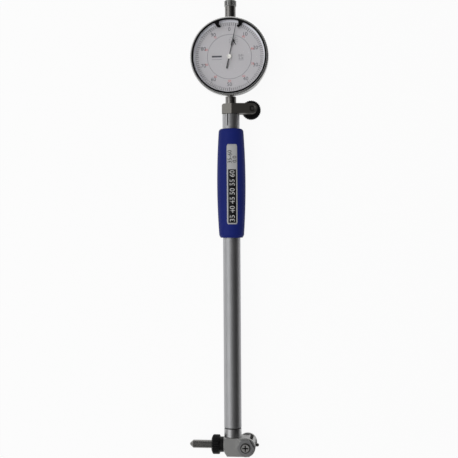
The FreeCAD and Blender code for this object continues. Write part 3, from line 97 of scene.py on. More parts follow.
def math_node(tree: bpy.types.NodeTree, operation: str, first, second=None) -> bpy.types.NodeSocket:
    """Math node on sockets or numbers.

    Args:
        tree: the tree it goes into.
        operation: Blender's name of the operation.
        first: socket or number.
        second: socket, number or None.

    Returns:
        The node's value socket.
    """
    node = tree.nodes.new("ShaderNodeMath")
    node.operation = operation
    for index, value in enumerate((first, second)):
        if isinstance(value, bpy.types.NodeSocket):
            link(tree, value, node.inputs[index])
        elif value is not None:
            node.inputs[index].default_value = value
    return node.outputs[0]


def noise_node(tree: bpy.types.NodeTree, vector, scale: float, detail: float = 3.0) -> bpy.types.NodeSocket:
    """Noise over a vector socket; returns its Factor socket."""
    node = tree.nodes.new("ShaderNodeTexNoise")
    node.inputs["Scale"].default_value = scale
    node.inputs["Detail"].default_value = detail
    link(tree, vector, node.inputs["Vector"])
    return node.outputs["Fac"]


def start_material(name: str) -> tuple:
    """New node material.

    Args:
        name: the material's name.

    Returns:
        The material, its tree, its shader and the socket of its Object coordinates.
    """
    made = bpy.data.materials.new(name)
    made.use_nodes = True
    tree = made.node_tree
    place = tree.nodes.new("ShaderNodeTexCoord").outputs["Object"]
    return made, tree, tree.nodes["Principled BSDF"], place


def colour_mix(tree: bpy.types.NodeTree, share, first, second) -> bpy.types.NodeSocket:
    """Colour between two others.

    Args:
        tree: the tree it goes into.
        share: socket that is 0 for the first colour and 1 for the second.
        first: socket, or red, green and blue.
        second: socket, or red, green and blue.

    Returns:
        The colour's socket.
    """
    node = tree.nodes.new("ShaderNodeMix")
    node.data_type = "RGBA"
    link(tree, share, node.inputs[0])
    for index, value in ((6, first), (7, second)):
        if isinstance(value, bpy.types.NodeSocket):
            link(tree, value, node.inputs[index])
        else:
            node.inputs[index].default_value = (*value, 1.0)
    return node.outputs[2]


def scaled(tree: bpy.types.NodeTree, value, factor: float, offset: float) -> bpy.types.NodeSocket:
    """A socket's value times a factor, plus an offset."""
    return math_node(tree, "ADD", math_node(tree, "MULTIPLY", value, factor), offset)


def add_bump(tree: bpy.types.NodeTree, height, strength: float, distance: float) -> None:
    """Bump from a height socket into the tree's shader."""
    bump = tree.nodes.new("ShaderNodeBump")
    bump.inputs["Strength"].default_value = strength
    bump.inputs["Distance"].default_value = distance
    link(tree, height, bump.inputs["Height"])
    link(tree, bump.outputs["Normal"], tree.nodes["Principled BSDF"].inputs["Normal"])


def seen_directly(tree: bpy.types.NodeTree, rays: bpy.types.Node) -> bpy.types.NodeSocket:
    """One where the eye looks straight or through glass, and zero once light has been scattered."""
    seen = math_node(tree, "MAXIMUM", rays.outputs["Is Camera Ray"], rays.outputs["Is Transmission Ray"])
    fresh = math_node(tree, "LESS_THAN", rays.outputs["Diffuse Depth"], 0.5)
    return math_node(tree, "MULTIPLY", seen, fresh)


def disc_mask(tree: bpy.types.NodeTree, place, centre: Vector, radius: float) -> bpy.types.NodeSocket:
    """One within a radius of a centre, seen along Z, and zero outside it."""
    offset = tree.nodes.new("ShaderNodeVectorMath")
    offset.operation = "SUBTRACT"
    offset.inputs[1].default_value = centre
    link(tree, place, offset.inputs[0])
    flat = tree.nodes.new("ShaderNodeVectorMath")
    flat.operation = "MULTIPLY"
    flat.inputs[1].default_value = (1.0, 1.0, 0.0)
    link(tree, offset.outputs[0], flat.inputs[0])
    length = tree.nodes.new("ShaderNodeVectorMath")
    length.operation = "LENGTH"
    link(tree, flat.outputs[0], length.inputs[0])
    return math_node(tree, "LESS_THAN", length.outputs["Value"], radius)


def new_group(name: str, inputs: dict, outputs: dict) -> bpy.types.NodeTree:
    """Empty shader group with named sockets.

    Args:
        name: the group's name.
        inputs: socket name to (kind, first value).
        outputs: socket name to kind.

    Returns:
        The group, with its input and output nodes named In and Out.
    """
    group = bpy.data.node_groups.new(name, "ShaderNodeTree")
    for socket, (kind, value) in inputs.items():
        made = group.interface.new_socket(name=socket, in_out="INPUT", socket_type=kind)
        if value is not None:
            made.default_value = value
    for socket, kind in outputs.items():
        group.interface.new_socket(name=socket, in_out="OUTPUT", socket_type=kind)
    group.nodes.new("NodeGroupInput").name = "In"
    group.nodes.new("NodeGroupOutput").name = "Out"
    return group


def build_working_marks() -> bpy.types.NodeTree:
    """Group for the marks that tools leave on metal.

    The vector is scaled on each axis before a noise is read, so that the marks become rings or
    lines. A second, coarse noise gives handling smudges.

    Returns:
        A group with Vector, Stretch and Scale inputs, and Marks and Smudge outputs.
    """
    group = new_group(
        "WorkingMarks",
        {"Vector": ("NodeSocketVector", None), "Stretch": ("NodeSocketVector", None),
         "Scale": ("NodeSocketFloat", 1.0)},
        {"Marks": "NodeSocketFloat", "Smudge": "NodeSocketFloat"},
    )
    start, end = group.nodes["In"], group.nodes["Out"]
    stretch = group.nodes.new("ShaderNodeVectorMath")
    stretch.operation = "MULTIPLY"
    link(group, start.outputs["Vector"], stretch.inputs[0])
    link(group, start.outputs["Stretch"], stretch.inputs[1])
    fine = group.nodes.new("ShaderNodeTexNoise")
    fine.inputs["Detail"].default_value = 4.0
    link(group, stretch.outputs[0], fine.inputs["Vector"])
    link(group, start.outputs["Scale"], fine.inputs["Scale"])
    link(group, fine.outputs["Fac"], end.inputs["Marks"])
    link(group, noise_node(group, start.outputs["Vector"], 90.0, 3.0), end.inputs["Smudge"])
    return group


@dataclass(frozen=True)
class MetalFinish:
    """Worked metal: colour, roughness, and the direction and strength of its marks."""

    name: str
    colour: tuple
    roughness: float
    spread: float = 0.10
    bump: float = 0.15
    scale: float = 3500.0
    pattern: Pattern = Pattern.TURNED
    metallic: float = 1.0

    def stretch(self, axis: Axis) -> tuple:
        """Scale of the marks along X, Y and Z for a piece worked along an axis."""
        if self.pattern is Pattern.CAST:
            return (1.0, 1.0, 1.0)
        along, across = (1.0, 0.02) if self.pattern is Pattern.TURNED else (0.02, 1.0)
        return tuple(along if index == axis.value else across for index in range(3))

    def material(self, axis: Axis, marks: bpy.types.NodeTree) -> bpy.types.Material:
        """Material of this finish for one working direction.

        Args:
            axis: the direction that the piece was worked along.
            marks: the shared group of working marks.

        Returns:
            The material, made once for each direction.
        """
        name = f"{self.name}_{axis.name}"
        if name in bpy.data.materials:
            return bpy.data.materials[name]
        made, tree, shader, place = start_material(name)
        shader.inputs["Metallic"].default_value = self.metallic
        worked = tree.nodes.new("ShaderNodeGroup")
        worked.node_tree = marks
        worked.inputs["Stretch"].default_value = self.stretch(axis)
        worked.inputs["Scale"].default_value = self.scale
        link(tree, place, worked.inputs["Vector"])
        smudge, fine = worked.outputs["Smudge"], worked.outputs["Marks"]
        tinted = math_node(tree, "ADD", math_node(tree, "MULTIPLY", smudge, SMUDGE_TINT),
                           math_node(tree, "MULTIPLY", fine, MARK_TINT))
        worn = tuple(channel * WORN_SHARE for channel in self.colour)
        link(tree, colour_mix(tree, tinted, self.colour, worn), shader.inputs["Base Color"])
        haze = self.spread * HAZE_SHARE
        rough = math_node(tree, "ADD", math_node(tree, "MULTIPLY", fine, self.spread),
                          math_node(tree, "MULTIPLY", smudge, haze))
        link(tree, math_node(tree, "ADD", rough, self.roughness - haze), shader.inputs["Roughness"])
        add_bump(tree, worked.outputs["Marks"], self.bump, MARK_DEPTH)
        return made


@dataclass(frozen=True)
class CoatFinish:
    """Paint, plastic or rubber: a coloured skin with fine grain, faint mottling and an optional clear coat."""

    name: str
    colour: tuple
    roughness: float
    grain: float = 2600.0
    bump: float = 0.12
    mottle: float = 0.12
    coat: float = 0.0
    specular: float = 0.5

    def material(self) -> bpy.types.Material:
        """Material of this finish, made once."""
        if self.name in bpy.data.materials:
            return bpy.data.materials[self.name]
        made, tree, shader, place = start_material(self.name)
        shader.inputs["Coat Weight"].default_value = self.coat
        shader.inputs["Coat Roughness"].default_value = COAT_ROUGHNESS
        shader.inputs["Specular IOR Level"].default_value = self.specular
        broad = noise_node(tree, place, MOTTLE_SCALE, 4.0)
        fine = noise_node(tree, place, self.grain, 2.0)
        share = math_node(tree, "ADD", math_node(tree, "MULTIPLY", broad, BROAD_SHARE),
                          math_node(tree, "MULTIPLY", fine, 1.0 - BROAD_SHARE))
        deep = tuple(channel * (1.0 - 2.0 * self.mottle) for channel in self.colour)
        link(tree, colour_mix(tree, share, self.colour, deep), shader.inputs["Base Color"])
        link(tree, scaled(tree, broad, COAT_SPREAD, self.roughness - COAT_SPREAD / 2), shader.inputs["Roughness"])
        add_bump(tree, fine, self.bump, GRAIN_DEPTH)
        return made


@dataclass(frozen=True)
class HubFinish:
    """Black enamel hand with a bright turned hub."""

    name: str
    centre: tuple
    radius: float
    enamel: tuple = (0.008, 0.008, 0.009)
    nickel: tuple = (0.50, 0.49, 0.46)

    def material(self) -> bpy.types.Material:
        """Enamel outside the hub's radius, and nickel with fine grain inside it."""
        made, tree, shader, place = start_material(self.name)
        inside = disc_mask(tree, place, Vector(self.centre), self.radius)
        fine = noise_node(tree, place, 2400.0, 2.0)
        share = math_node(tree, "MULTIPLY", inside, math_node(tree, "ADD", fine, 0.5))
        link(tree, colour_mix(tree, share, self.enamel, self.nickel), shader.inputs["Base Color"])
        link(tree, math_node(tree, "MULTIPLY", inside, 0.6), shader.inputs["Metallic"])
        link(tree, scaled(tree, fine, 0.2, 0.32), shader.inputs["Roughness"])
        return made


@dataclass(frozen=True)
class WallFinish:
    """Chromed bezel whose inner wall, under the crystal, is painted pale like the dial."""

    name: str
    centre: tuple
    radius: float
    chrome: tuple = (0.80, 0.80, 0.79)
    paint: tuple = (0.88, 0.88, 0.92)

    def material(self) -> bpy.types.Material:
        """Chrome outside the crystal's radius, and pale paint inside it."""
        made, tree, shader, place = start_material(self.name)
        inside = disc_mask(tree, place, Vector(self.centre), self.radius)
        fine = noise_node(tree, place, 2600.0, 2.0)
        link(tree, colour_mix(tree, inside, self.chrome, self.paint), shader.inputs["Base Color"])
        link(tree, math_node(tree, "SUBTRACT", 1.0, inside), shader.inputs["Metallic"])
        link(tree, scaled(tree, fine, 0.12, 0.18), shader.inputs["Roughness"])
        return made


@dataclass(frozen=True)
class ScrewFinish:
    """Bridge screw: crowned centre made brighter as a painted highlight, darker hexagon, and painted shade in the
    cross recess and in the groove round the centre.
    """

    name: str
    centre: tuple
    pan: float = 2.9 * MM
    arm: float = 2.25 * MM
    half: float = 0.46 * MM
    groove: float = 0.8 * MM
    flange: tuple = (0.62, 0.62, 0.63)
    # painted highlight: brighter colour for the crowned pan
    painted_pan_highlight: tuple = (0.86, 0.85, 0.83)
    # painted shade: near-black colour for the cross recess and the groove round the pan
    painted_recess_shade: tuple = (0.012, 0.011, 0.010)

    def material(self) -> bpy.types.Material:
        """Metal whose colour follows the distance from the screw's axis and the two arms of the recess."""
        made, tree, shader, place = start_material(self.name)
        shader.inputs["Metallic"].default_value = 1.0
        split = tree.nodes.new("ShaderNodeSeparateXYZ")
        link(tree, place, split.inputs[0])
        x, y = (math_node(tree, "ABSOLUTE", math_node(tree, "SUBTRACT", split.outputs[axis], self.centre[index]))
                for index, axis in enumerate("XY"))
        arms = [
            math_node(tree, "MULTIPLY", math_node(tree, "LESS_THAN", thin, self.half),
                      math_node(tree, "LESS_THAN", long, self.arm))
            for thin, long in ((x, y), (y, x))
        ]
        fine = noise_node(tree, place, 1500.0, 3.0)
        head = disc_mask(tree, place, Vector(self.centre), self.pan)
        rim = disc_mask(tree, place, Vector(self.centre), self.pan + self.groove)
        # painted shade: the ring between the pan and the hexagon is darkened as the groove
        groove = math_node(tree, "MULTIPLY", math_node(tree, "SUBTRACT", rim, head), 0.85)
        cross = math_node(tree, "MAXIMUM", math_node(tree, "MAXIMUM", *arms), groove)
        # painted highlight: the crowned pan gets a brighter colour than the hexagon
        bright = math_node(tree, "MULTIPLY", head, scaled(tree, fine, 0.3, 0.8))
        steel = colour_mix(tree, bright, self.flange, self.painted_pan_highlight)
        # painted shade: the recess arms and the groove get the near-black colour
        link(tree, colour_mix(tree, cross, steel, self.painted_recess_shade), shader.inputs["Base Color"])
        link(tree, scaled(tree, fine, 0.15, 0.28), shader.inputs["Roughness"])
        return made


@dataclass(frozen=True)
class CrystalFinish:
    """Clear crystal that lets the lamps reach the dial behind it."""

    name: str = "clear_crystal"

    def material(self) -> bpy.types.Material:
        """Thin glass for the eye, and transparent for shadow rays."""
        made, tree, shader, place = start_material(self.name)
        shader.inputs["Transmission Weight"].default_value = 1.0
        shader.inputs["IOR"].default_value = 1.02
        smear = noise_node(tree, place, 60.0, 5.0)
        link(tree, math_node(tree, "MULTIPLY", smear, 0.03), shader.inputs["Roughness"])
        link(tree, colour_mix(tree, smear, (1.0, 1.0, 1.0), (0.97, 0.98, 0.99)), shader.inputs["Base Color"])
        clear = tree.nodes.new("ShaderNodeBsdfTransparent")
        rays = tree.nodes.new("ShaderNodeLightPath")
        join = tree.nodes.new("ShaderNodeMixShader")
        link(tree, rays.outputs["Is Shadow Ray"], join.inputs[0])
        link(tree, shader.outputs[0], join.inputs[1])
        link(tree, clear.outputs[0], join.inputs[2])
        link(tree, join.outputs[0], tree.nodes["Material Output"].inputs["Surface"])
        return made


METALS = {
    "steel_satin": MetalFinish("ground_steel", (0.74, 0.74, 0.73), 0.44, 0.14, 0.30, 2200.0, Pattern.GROUND),
    "steel_polished": MetalFinish("polished_steel", (0.38, 0.37, 0.355), 0.27, 0.08, 0.04),
    "tube_chrome": MetalFinish("satin_chrome", (0.76, 0.765, 0.78), 0.52, 0.10, 0.10, 1800.0, Pattern.GROUND),
    "black_knurl": MetalFinish("black_oxide", (0.010, 0.010, 0.011), 0.40, 0.12, 0.2, 2600.0, Pattern.CAST, 0.4),
    "clamp_nickel": MetalFinish("dull_nickel", (0.30, 0.29, 0.27), 0.36, 0.14, 0.2, 2400.0, Pattern.CAST),
    "case_metal": MetalFinish("satin_case", (0.58, 0.58, 0.58), 0.36, 0.12, 0.15, 2600.0),
    "bezel_chrome": MetalFinish("bright_chrome", (0.62, 0.62, 0.61), 0.22, 0.08, 0.08),
    "brass_plain": MetalFinish("plain_brass", (0.66, 0.50, 0.24), 0.28, 0.12, 0.15),
    "spring_steel": MetalFinish("spring_steel", (0.42, 0.42, 0.43), 0.28, 0.12, 0.1),
}
COATS = {
    "grip_blue": CoatFinish("blue_grip", (0.010, 0.021, 0.200), 0.5, 1900.0, 0.16, 0.14, 0.0, 0.16),
    "ring_black": CoatFinish("black_ring", (0.003, 0.003, 0.0035), 0.5, specular=0.2),
    "dial_face": CoatFinish("dial_paint", (0.47, 0.455, 0.47), 0.5, 3200.0, 0.04, 0.04),
    "hand_black": CoatFinish("black_enamel", (0.008, 0.008, 0.009), 0.45, specular=0.3),
    "rubber_black": CoatFinish("black_rubber", (0.020, 0.020, 0.020), 0.6),
}
PRINTS = {
    "ink": CoatFinish("dial_ink", (0.06, 0.06, 0.07), 0.5, 3000.0, 0.02, 0.08),
    "red": CoatFinish("red_ink", (0.55, 0.10, 0.09), 0.5, 3000.0, 0.02, 0.08),
    # rim: pale ring painted as a highlight on the dial ring's bevel, not real print
    "rim": CoatFinish("rim_painted_highlight", (0.74, 0.74, 0.78), 0.5, 3000.0, 0.02, 0.05),
    "line": CoatFinish("grey_line", (0.22, 0.22, 0.24), 0.5, 3000.0, 0.02, 0.08),
    "silver": CoatFinish("label_silver", (0.52, 0.52, 0.53), 0.36, 2400.0, 0.05, 0.08),
    "black": CoatFinish("label_black", (0.008, 0.008, 0.010), 0.35, 2400.0, 0.05, 0.08),
    "white": CoatFinish("label_white", (0.62, 0.62, 0.62), 0.45, 2400.0, 0.03, 0.05),
}
ALONG_X = ("anvil_rod", "lock_nut", "plunger", "plunger_tip", "plunger_bush", "bridge_springs")
ALONG_Z = ("bridge", "bridge_screw_near", "bridge_screw_far", "crank_pin", "bell_crank", "clamp_knob", "clamp_screw",
           "indicator_case", "case_back", "back_screws", "bezel", "middle_plate", "front_plate", "plate_pillars",
           "plate_screws", "rack_pinion", "drive_gear", "centre_pinion", "takeup_staff", "takeup_gear", "hairspring")


# ---------------------------------------------------------------- mesh helpers


def mesh_piece(name: str, points: np.ndarray, faces: np.ndarray, body: str, smooth: bool = False):
    """Object from arrays of points (metres) and faces, riding on a body.

    Args:
        name: the piece's name.
        points: n x 3 places.
        faces: m x 4 or m x 3 indices, turning outwards.
        body: the body that carries the piece.
        smooth: True for a curved surface.

    Returns:
        The new object.
    """
    mesh = bpy.data.meshes.new(name)
    mesh.from_pydata(points.tolist(), [], faces.tolist())
    mesh.polygons.foreach_set("use_smooth", np.full(len(mesh.polygons), smooth))
    mesh.update()
    piece = bpy.data.objects.new(name, mesh)
    bpy.context.scene.collection.objects.link(piece)
    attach(piece, body)
    return piece


BAR_FACES = np.array([[4, 5, 6, 7], [3, 2, 1, 0], [0, 1, 5, 4], [1, 2, 6, 5], [2, 3, 7, 6], [3, 0, 4, 7]])


def radial_bars(centre: Vector, angles: np.ndarray, inner, outer, width, level: float, thickness: float) -> tuple:
    """Thin printed bars round a centre, each along a radius.

    A bar's corners are centre + r (sin a, cos a) +- w/2 (cos a, -sin a), with a clockwise from +Y.

    Args:
        centre: centre of the scale.
        angles: clockwise angles in radians, one for each bar.
        inner, outer, width: radii and widths in metres, numbers or arrays.
        level: height of the printed surface.
        thickness: height of the ink.

    Returns:
        Points and faces.
    """
    count = len(angles)
    inner, outer, half = (np.broadcast_to(np.asarray(value, float), (count,))
                          for value in (inner, outer, np.asarray(width) / 2))
    out = np.stack([np.sin(angles), np.cos(angles)], -1)
    side = np.stack([np.cos(angles), -np.sin(angles)], -1)
    flat = np.stack([
        out * inner[:, None] - side * half[:, None], out * inner[:, None] + side * half[:, None],
        out * outer[:, None] + side * half[:, None], out * outer[:, None] - side * half[:, None],
    ], 1) + np.array([centre.x, centre.y])
    low = np.concatenate([flat, np.full((count, 4, 1), level)], -1)
    high = np.concatenate([flat, np.full((count, 4, 1), level + thickness)], -1)
    points = np.concatenate([low, high], 1).reshape(-1, 3)
    faces = (BAR_FACES[None] + 8 * np.arange(count)[:, None, None]).reshape(-1, 4)
    return points, faces


def ring_band(centre: Vector, inner: float, outer: float, level: float, thickness: float, steps: int = 180) -> tuple:
    """Flat closed ring: a rectangle carried round the centre on a circle."""
    turn = np.linspace(0.0, 2 * np.pi, steps, endpoint=False)
    corner = [(inner, level), (outer, level), (outer, level + thickness), (inner, level + thickness)]
    points = np.stack([
        np.stack([centre.x + r * np.cos(turn), centre.y + r * np.sin(turn), np.full(steps, z)], -1) for r, z in corner
    ], 1).reshape(-1, 3)
    i = np.arange(steps)[:, None] * 4
    j = (np.arange(steps)[:, None] + 1) % steps * 4
    k = np.arange(4)[None]
    faces = np.stack([i + k, j + k, j + (k + 1) % 4, i + (k + 1) % 4], -1).reshape(-1, 4)
    return points, faces


def printed_text(text: str, height: float, thickness: float) -> bpy.types.Mesh:
    """Mesh of a number, centred on the origin, lying in the XY plane."""
    curve = bpy.data.curves.new("number", "FONT")
    curve.body = text
    curve.size = height / FONT_HEIGHT
    curve.align_x, curve.align_y = "CENTER", "CENTER"
    curve.extrude = thickness / 2
    curve.resolution_u = 3
    holder = bpy.data.objects.new("number", curve)
    bpy.context.scene.collection.objects.link(holder)
    bpy.context.view_layer.update()
    mesh = bpy.data.meshes.new_from_object(holder.evaluated_get(bpy.context.evaluated_depsgraph_get()))
    bpy.data.objects.remove(holder)
    low, high = np.array([v.co for v in mesh.vertices]).min(0), np.array([v.co for v in mesh.vertices]).max(0)
    mesh.transform(Matrix.Translation(Vector(-(low + high) / 2)))
    return mesh


def numbers_piece(name: str, entries: list, body: str, finish: CoatFinish, thickness: float) -> bpy.types.Object:
    """One piece from several printed numbers.

    Args:
        name: the piece's name.
        entries: (text, height, matrix) for each number.
        body: the body that carries it.
        finish: the ink.
        thickness: height of the ink.

    Returns:
        The new object.
    """
    points, faces, base = [], [], 0
    for text, height, matrix in entries:
        mesh = printed_text(text, height, thickness)
        mesh.transform(matrix)
        points += [tuple(v.co) for v in mesh.vertices]
        faces += [[base + index for index in face.vertices] for face in mesh.polygons]
        base = len(points)
        bpy.data.meshes.remove(mesh)
    mesh = bpy.data.meshes.new(name)
    mesh.from_pydata(points, [], faces)
    mesh.update()
    piece = bpy.data.objects.new(name, mesh)
    bpy.context.scene.collection.objects.link(piece)
    mesh.materials.append(finish.material())
    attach(piece, body)
    return piece


def report(piece: bpy.types.Object) -> bpy.types.Object:
    """Log a finished piece with its count of faces."""
    log.info("%s: %d faces", piece.name, len(piece.data.polygons))
    return piece


# ---------------------------------------------------------------- sub-assemblies


@dataclass
class DialPrint:
    """Printed scale of the dial ring and of the fixed centre disc, with a pale ring painted as a highlight on the
    dial ring's bevel.
    """

    ink: float = 0.012 * MM
    divisions: int = 100
    scale_outer: float = 25.35 * MM
    number_radius: float = 20.4 * MM
    red_radius: float = 18.0 * MM
    number_height: float = 2.75 * MM
    red_height: float = 1.6 * MM
    tick_lengths: tuple = (2.1 * MM, 2.6 * MM, 2.7 * MM)
    tick_widths: tuple = (0.32 * MM, 0.40 * MM)
    line_width: float = 0.12 * MM
    disc_line: tuple = (16.25 * MM, 16.58 * MM)
    # radii of the pale ring painted as a highlight on the dial ring's bevel
    rim: tuple = (25.7 * MM, 26.85 * MM)
    counter_ticks: tuple = (2.5 * MM, 3.4 * MM, 0.24 * MM)
    counter_fine_ticks: tuple = (3.0 * MM, 3.4 * MM, 0.11 * MM)
    counter_numbers: tuple = (1.9 * MM, 0.85 * MM)

    def __post_init__(self) -> None:
        """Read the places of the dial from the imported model."""
        low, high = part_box("dial_ring")
        self.centre = (low + high) / 2
        self.level = high.z
        low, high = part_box("takeup_staff")
        self.counter = (low + high) / 2

    def bars(self, name: str, body: str, centre: Vector, angles, inner, outer, width, finish: CoatFinish):
        """Set of printed bars as one piece."""
        points, faces = radial_bars(centre, np.asarray(angles, float), inner, outer, width, self.level, self.ink)
        piece = mesh_piece(name, points, faces, body)
        piece.data.materials.append(finish.material())
        return report(piece)

    def ring(self, name: str, body: str, inner: float, outer: float, centre: Vector, finish: CoatFinish):
        """Printed ring as one piece."""
        points, faces = ring_band(centre, inner, outer, self.level, self.ink)
        piece = mesh_piece(name, points, faces, body)
        piece.data.materials.append(finish.material())
        return report(piece)

    def upright(self, centre: Vector, radius: float, angle: float) -> Matrix:
        """Place of an upright number at a radius and a clockwise angle."""
        return Matrix.Translation((centre.x + radius * math.sin(angle), centre.y + radius * math.cos(angle),
                                   self.level + self.ink / 2))

    def build(self) -> None:
        """Make the scale of the dial ring, the counter scale and the marks of the disc."""
        self.build_scale()
        self.build_counter()
        self.build_marks()

    def build_scale(self) -> None:
        """Ticks, lines, a pale ring painted as a highlight on the dial's rim, and both rows of numbers."""
        index = np.arange(self.divisions)
        short, middle, long = self.tick_lengths
        length = np.where(index % 10 == 0, long, np.where(index % 5 == 0, middle, short))
        width = np.where(index % 10 == 0, self.tick_widths[1], self.tick_widths[0])
        self.bars("scale_ticks", "bezel_unit", self.centre, index * 2 * np.pi / self.divisions,
                  self.scale_outer - length, self.scale_outer, width, PRINTS["ink"])
        line = self.scale_outer - short
        self.ring("scale_line", "bezel_unit", line, line + self.line_width, self.centre, PRINTS["line"])
        self.ring("disc_line", "indicator", *self.disc_line, self.centre, PRINTS["line"])
        tens = [(10 * n, math.tau * n / 10) for n in range(10)]
        report(numbers_piece("scale_numbers", [
            (str(value), self.number_height, self.upright(self.centre, self.number_radius, angle))
            for value, angle in tens
        ], "bezel_unit", PRINTS["ink"], self.ink))
        report(numbers_piece("scale_numbers_red", [
            (str(100 - value), self.red_height, self.upright(self.centre, self.red_radius, angle))
            for value, angle in tens if value
        ], "bezel_unit", PRINTS["red"], self.ink))
        # painted highlight: pale ring over the dial ring's bevel
        self.ring("painted_highlight_ring", "bezel_unit", *self.rim, self.centre, PRINTS["rim"])

    def build_counter(self) -> None:
        """Small scale of the counter hand."""
        tenths, fiftieths = np.arange(10) * 2 * np.pi / 10, np.arange(50) * 2 * np.pi / 50
        self.bars("counter_ticks", "indicator", self.counter, tenths, *self.counter_ticks, PRINTS["ink"])
        self.bars("counter_fine_ticks", "indicator", self.counter, fiftieths, *self.counter_fine_ticks,
                  PRINTS["line"])
        radius, height = self.counter_numbers
        report(numbers_piece("counter_numbers", [
            (str(n), height, self.upright(self.counter, radius, -math.tau * n / 10)) for n in range(10)
        ], "indicator", PRINTS["ink"], self.ink))

    def build_marks(self) -> None:
        """Plain marks on both sides of the hub; places and sizes are in millimetres."""
        for name, x, y, half, tall, finish in (
            ("left_mark", -9.4, 0.3, 3.7, 1.3, "ink"), ("left_mark_line", -9.4, -2.0, 3.7, 0.35, "line"),
            ("right_mark_line", 8.6, -2.6, 1.9, 0.3, "line"),
        ):
            self.bars(name, "indicator", self.centre + Vector((x, y, 0)) * MM, [math.pi / 2], -half * MM,
                      half * MM, tall * MM, PRINTS[finish])
        report(numbers_piece("reading_value", [
            (text, height * MM, self.upright(self.centre + Vector((x, y, 0)) * MM, 0.0, 0.0))
            for text, height, x, y in (("0.01", 1.6, 8.5, 0.7), ("0-10", 1.3, 8.6, -1.3))
        ], "indicator", PRINTS["ink"], self.ink))


@dataclass
class GripLabel:
    """Foil label wrapped on the front of the grip: silver sheet, black panel and plain marks."""

    start_from_low: float = 10.0 * MM
    length: float = 59.3 * MM
    width: float = 8.0 * MM
    turn: float = math.radians(9.0)
    rise: float = 0.06 * MM

    def __post_init__(self) -> None:
        """Read the barrel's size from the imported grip."""
        low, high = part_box("grip")
        self.low, self.high = low, high
        self.radius = (high.x - low.x) / 2
        self.axis_x, self.axis_z = (low.x + high.x) / 2, (low.z + high.z) / 2
        self.shoulder = self.radius - 1.35 * MM
        self.barrel_low, self.barrel_high = low.y + 1.9 * MM, high.y - 1.9 * MM

    def surface_radius(self, y: np.ndarray) -> np.ndarray:
        """Radius of the barrel at a height: a circular arc between the two shoulders."""
        half = (self.barrel_high - self.barrel_low) / 2
        bulge = self.radius - self.shoulder
        arc = (half**2 + bulge**2) / (2 * bulge)
        middle = (self.barrel_high + self.barrel_low) / 2
        return self.radius - arc + np.sqrt(arc**2 - (y - middle) ** 2)

    def patch(self, name: str, along: tuple, across: tuple, rise: float, finish: CoatFinish, corner: float = 0.0):
        """Thin closed patch that follows the barrel.

        A point is (x0 + r sin t, y, z0 + r cos t), with r the barrel's radius at y plus the rise,
        and t the label's turn plus the width across over r.

        Args:
            name: the piece's name.
            along: start and end along the label, from its lower edge.
            across: left and right from the label's middle line.
            rise: height of the outer face over the grip.
            finish: the print.
            corner: radius of the rounded corners.

        Returns:
            The new object.
        """
        rows, columns = 40, 12
        v = np.linspace(along[0], along[1], rows)
        inset = np.zeros(rows)
        if corner:
            near = np.minimum(v - along[0], along[1] - v)
            inset = np.where(near < corner, corner - np.sqrt(np.maximum(corner**2 - (corner - near) ** 2, 0.0)), 0.0)
        share = np.linspace(0.0, 1.0, columns)
        left, right = across[0] + inset, across[1] - inset
        u = left[:, None] + (right - left)[:, None] * share[None]
        y = self.low.y + self.start_from_low + v
        layers = []
        for lift in (rise - 0.05 * MM, rise):
            r = self.surface_radius(y)[:, None] + lift
            t = self.turn + u / r
            layers.append(np.stack([self.axis_x + r * np.sin(t), np.broadcast_to(y[:, None], u.shape),
                                    self.axis_z + r * np.cos(t)], -1).reshape(-1, 3))
        points = np.concatenate(layers)
        i, j = np.meshgrid(np.arange(rows - 1), np.arange(columns - 1), indexing="ij")
        a = (i * columns + j).ravel()
        top = np.stack([a, a + 1, a + columns + 1, a + columns], -1) + rows * columns
        bottom = (top - rows * columns)[:, ::-1]
        grid = np.arange(rows * columns).reshape(rows, columns)
        rim = np.concatenate([grid[0], grid[1:, -1], grid[-1, -2::-1], grid[-2:0:-1, 0]])
        after = np.roll(rim, -1)
        side = np.stack([rim, after, after + rows * columns, rim + rows * columns], -1)
        piece = mesh_piece(name, points, np.concatenate([top, bottom, side]), "gauge", smooth=False)
        piece.data.polygons.foreach_set("use_smooth", np.arange(len(piece.data.polygons)) < len(top))
        piece.data.materials.append(finish.material())
        return report(piece)

    def numbers(self, name: str, entries: list, finish: CoatFinish, rise: float) -> bpy.types.Object:
        """Numbers that read up the label, bent to the barrel.

        Args:
            name: the piece's name.
            entries: (text, height, place along, place across).
            finish: the print.
            rise: height over the grip.

        Returns:
            The new object.
        """
        quarter = Matrix.Rotation(math.pi / 2, 4, "Z")
        flat = [(text, height, Matrix.Translation((across, along, 0)) @ quarter)
                for text, height, along, across in entries]
        piece = numbers_piece(name, flat, "gauge", finish, 0.02 * MM)
        count = len(piece.data.vertices)
        co = np.empty(count * 3)
        piece.data.vertices.foreach_get("co", co)
        co = co.reshape(-1, 3)
        y = self.low.y + self.start_from_low + co[:, 1]
        r = self.surface_radius(y) + rise + co[:, 2]
        t = self.turn + co[:, 0] / r
        bent = np.stack([self.axis_x + r * np.sin(t), y, self.axis_z + r * np.cos(t)], -1)
        piece.data.vertices.foreach_set("co", bent.ravel())
        piece.data.update()
        return report(piece)

    def build(self) -> None:
        """Make the sheet, the panel and the marks."""
        half = self.width / 2
        self.patch("label_sheet", (0.0, self.length), (-half, half), self.rise, PRINTS["silver"], 0.6 * MM)
        self.patch("label_panel", (1.0 * MM, 40.6 * MM), (-half + 1.0 * MM, half - 1.0 * MM), self.rise + 0.02 * MM,
                   PRINTS["black"])
        marks = [(str(35 + n * 5), 3.7 * MM, (4.4 + 6.6 * n) * MM, 0.0) for n in range(6)]
        self.numbers("label_numbers", marks, PRINTS["white"], self.rise + 0.03 * MM)
        span = [("35-60", 3.0 * MM, 50.0 * MM, -1.8 * MM), ("0.01", 3.0 * MM, 48.8 * MM, 1.9 * MM)]
        self.numbers("label_range", span, PRINTS["black"], self.rise + 0.012 * MM)


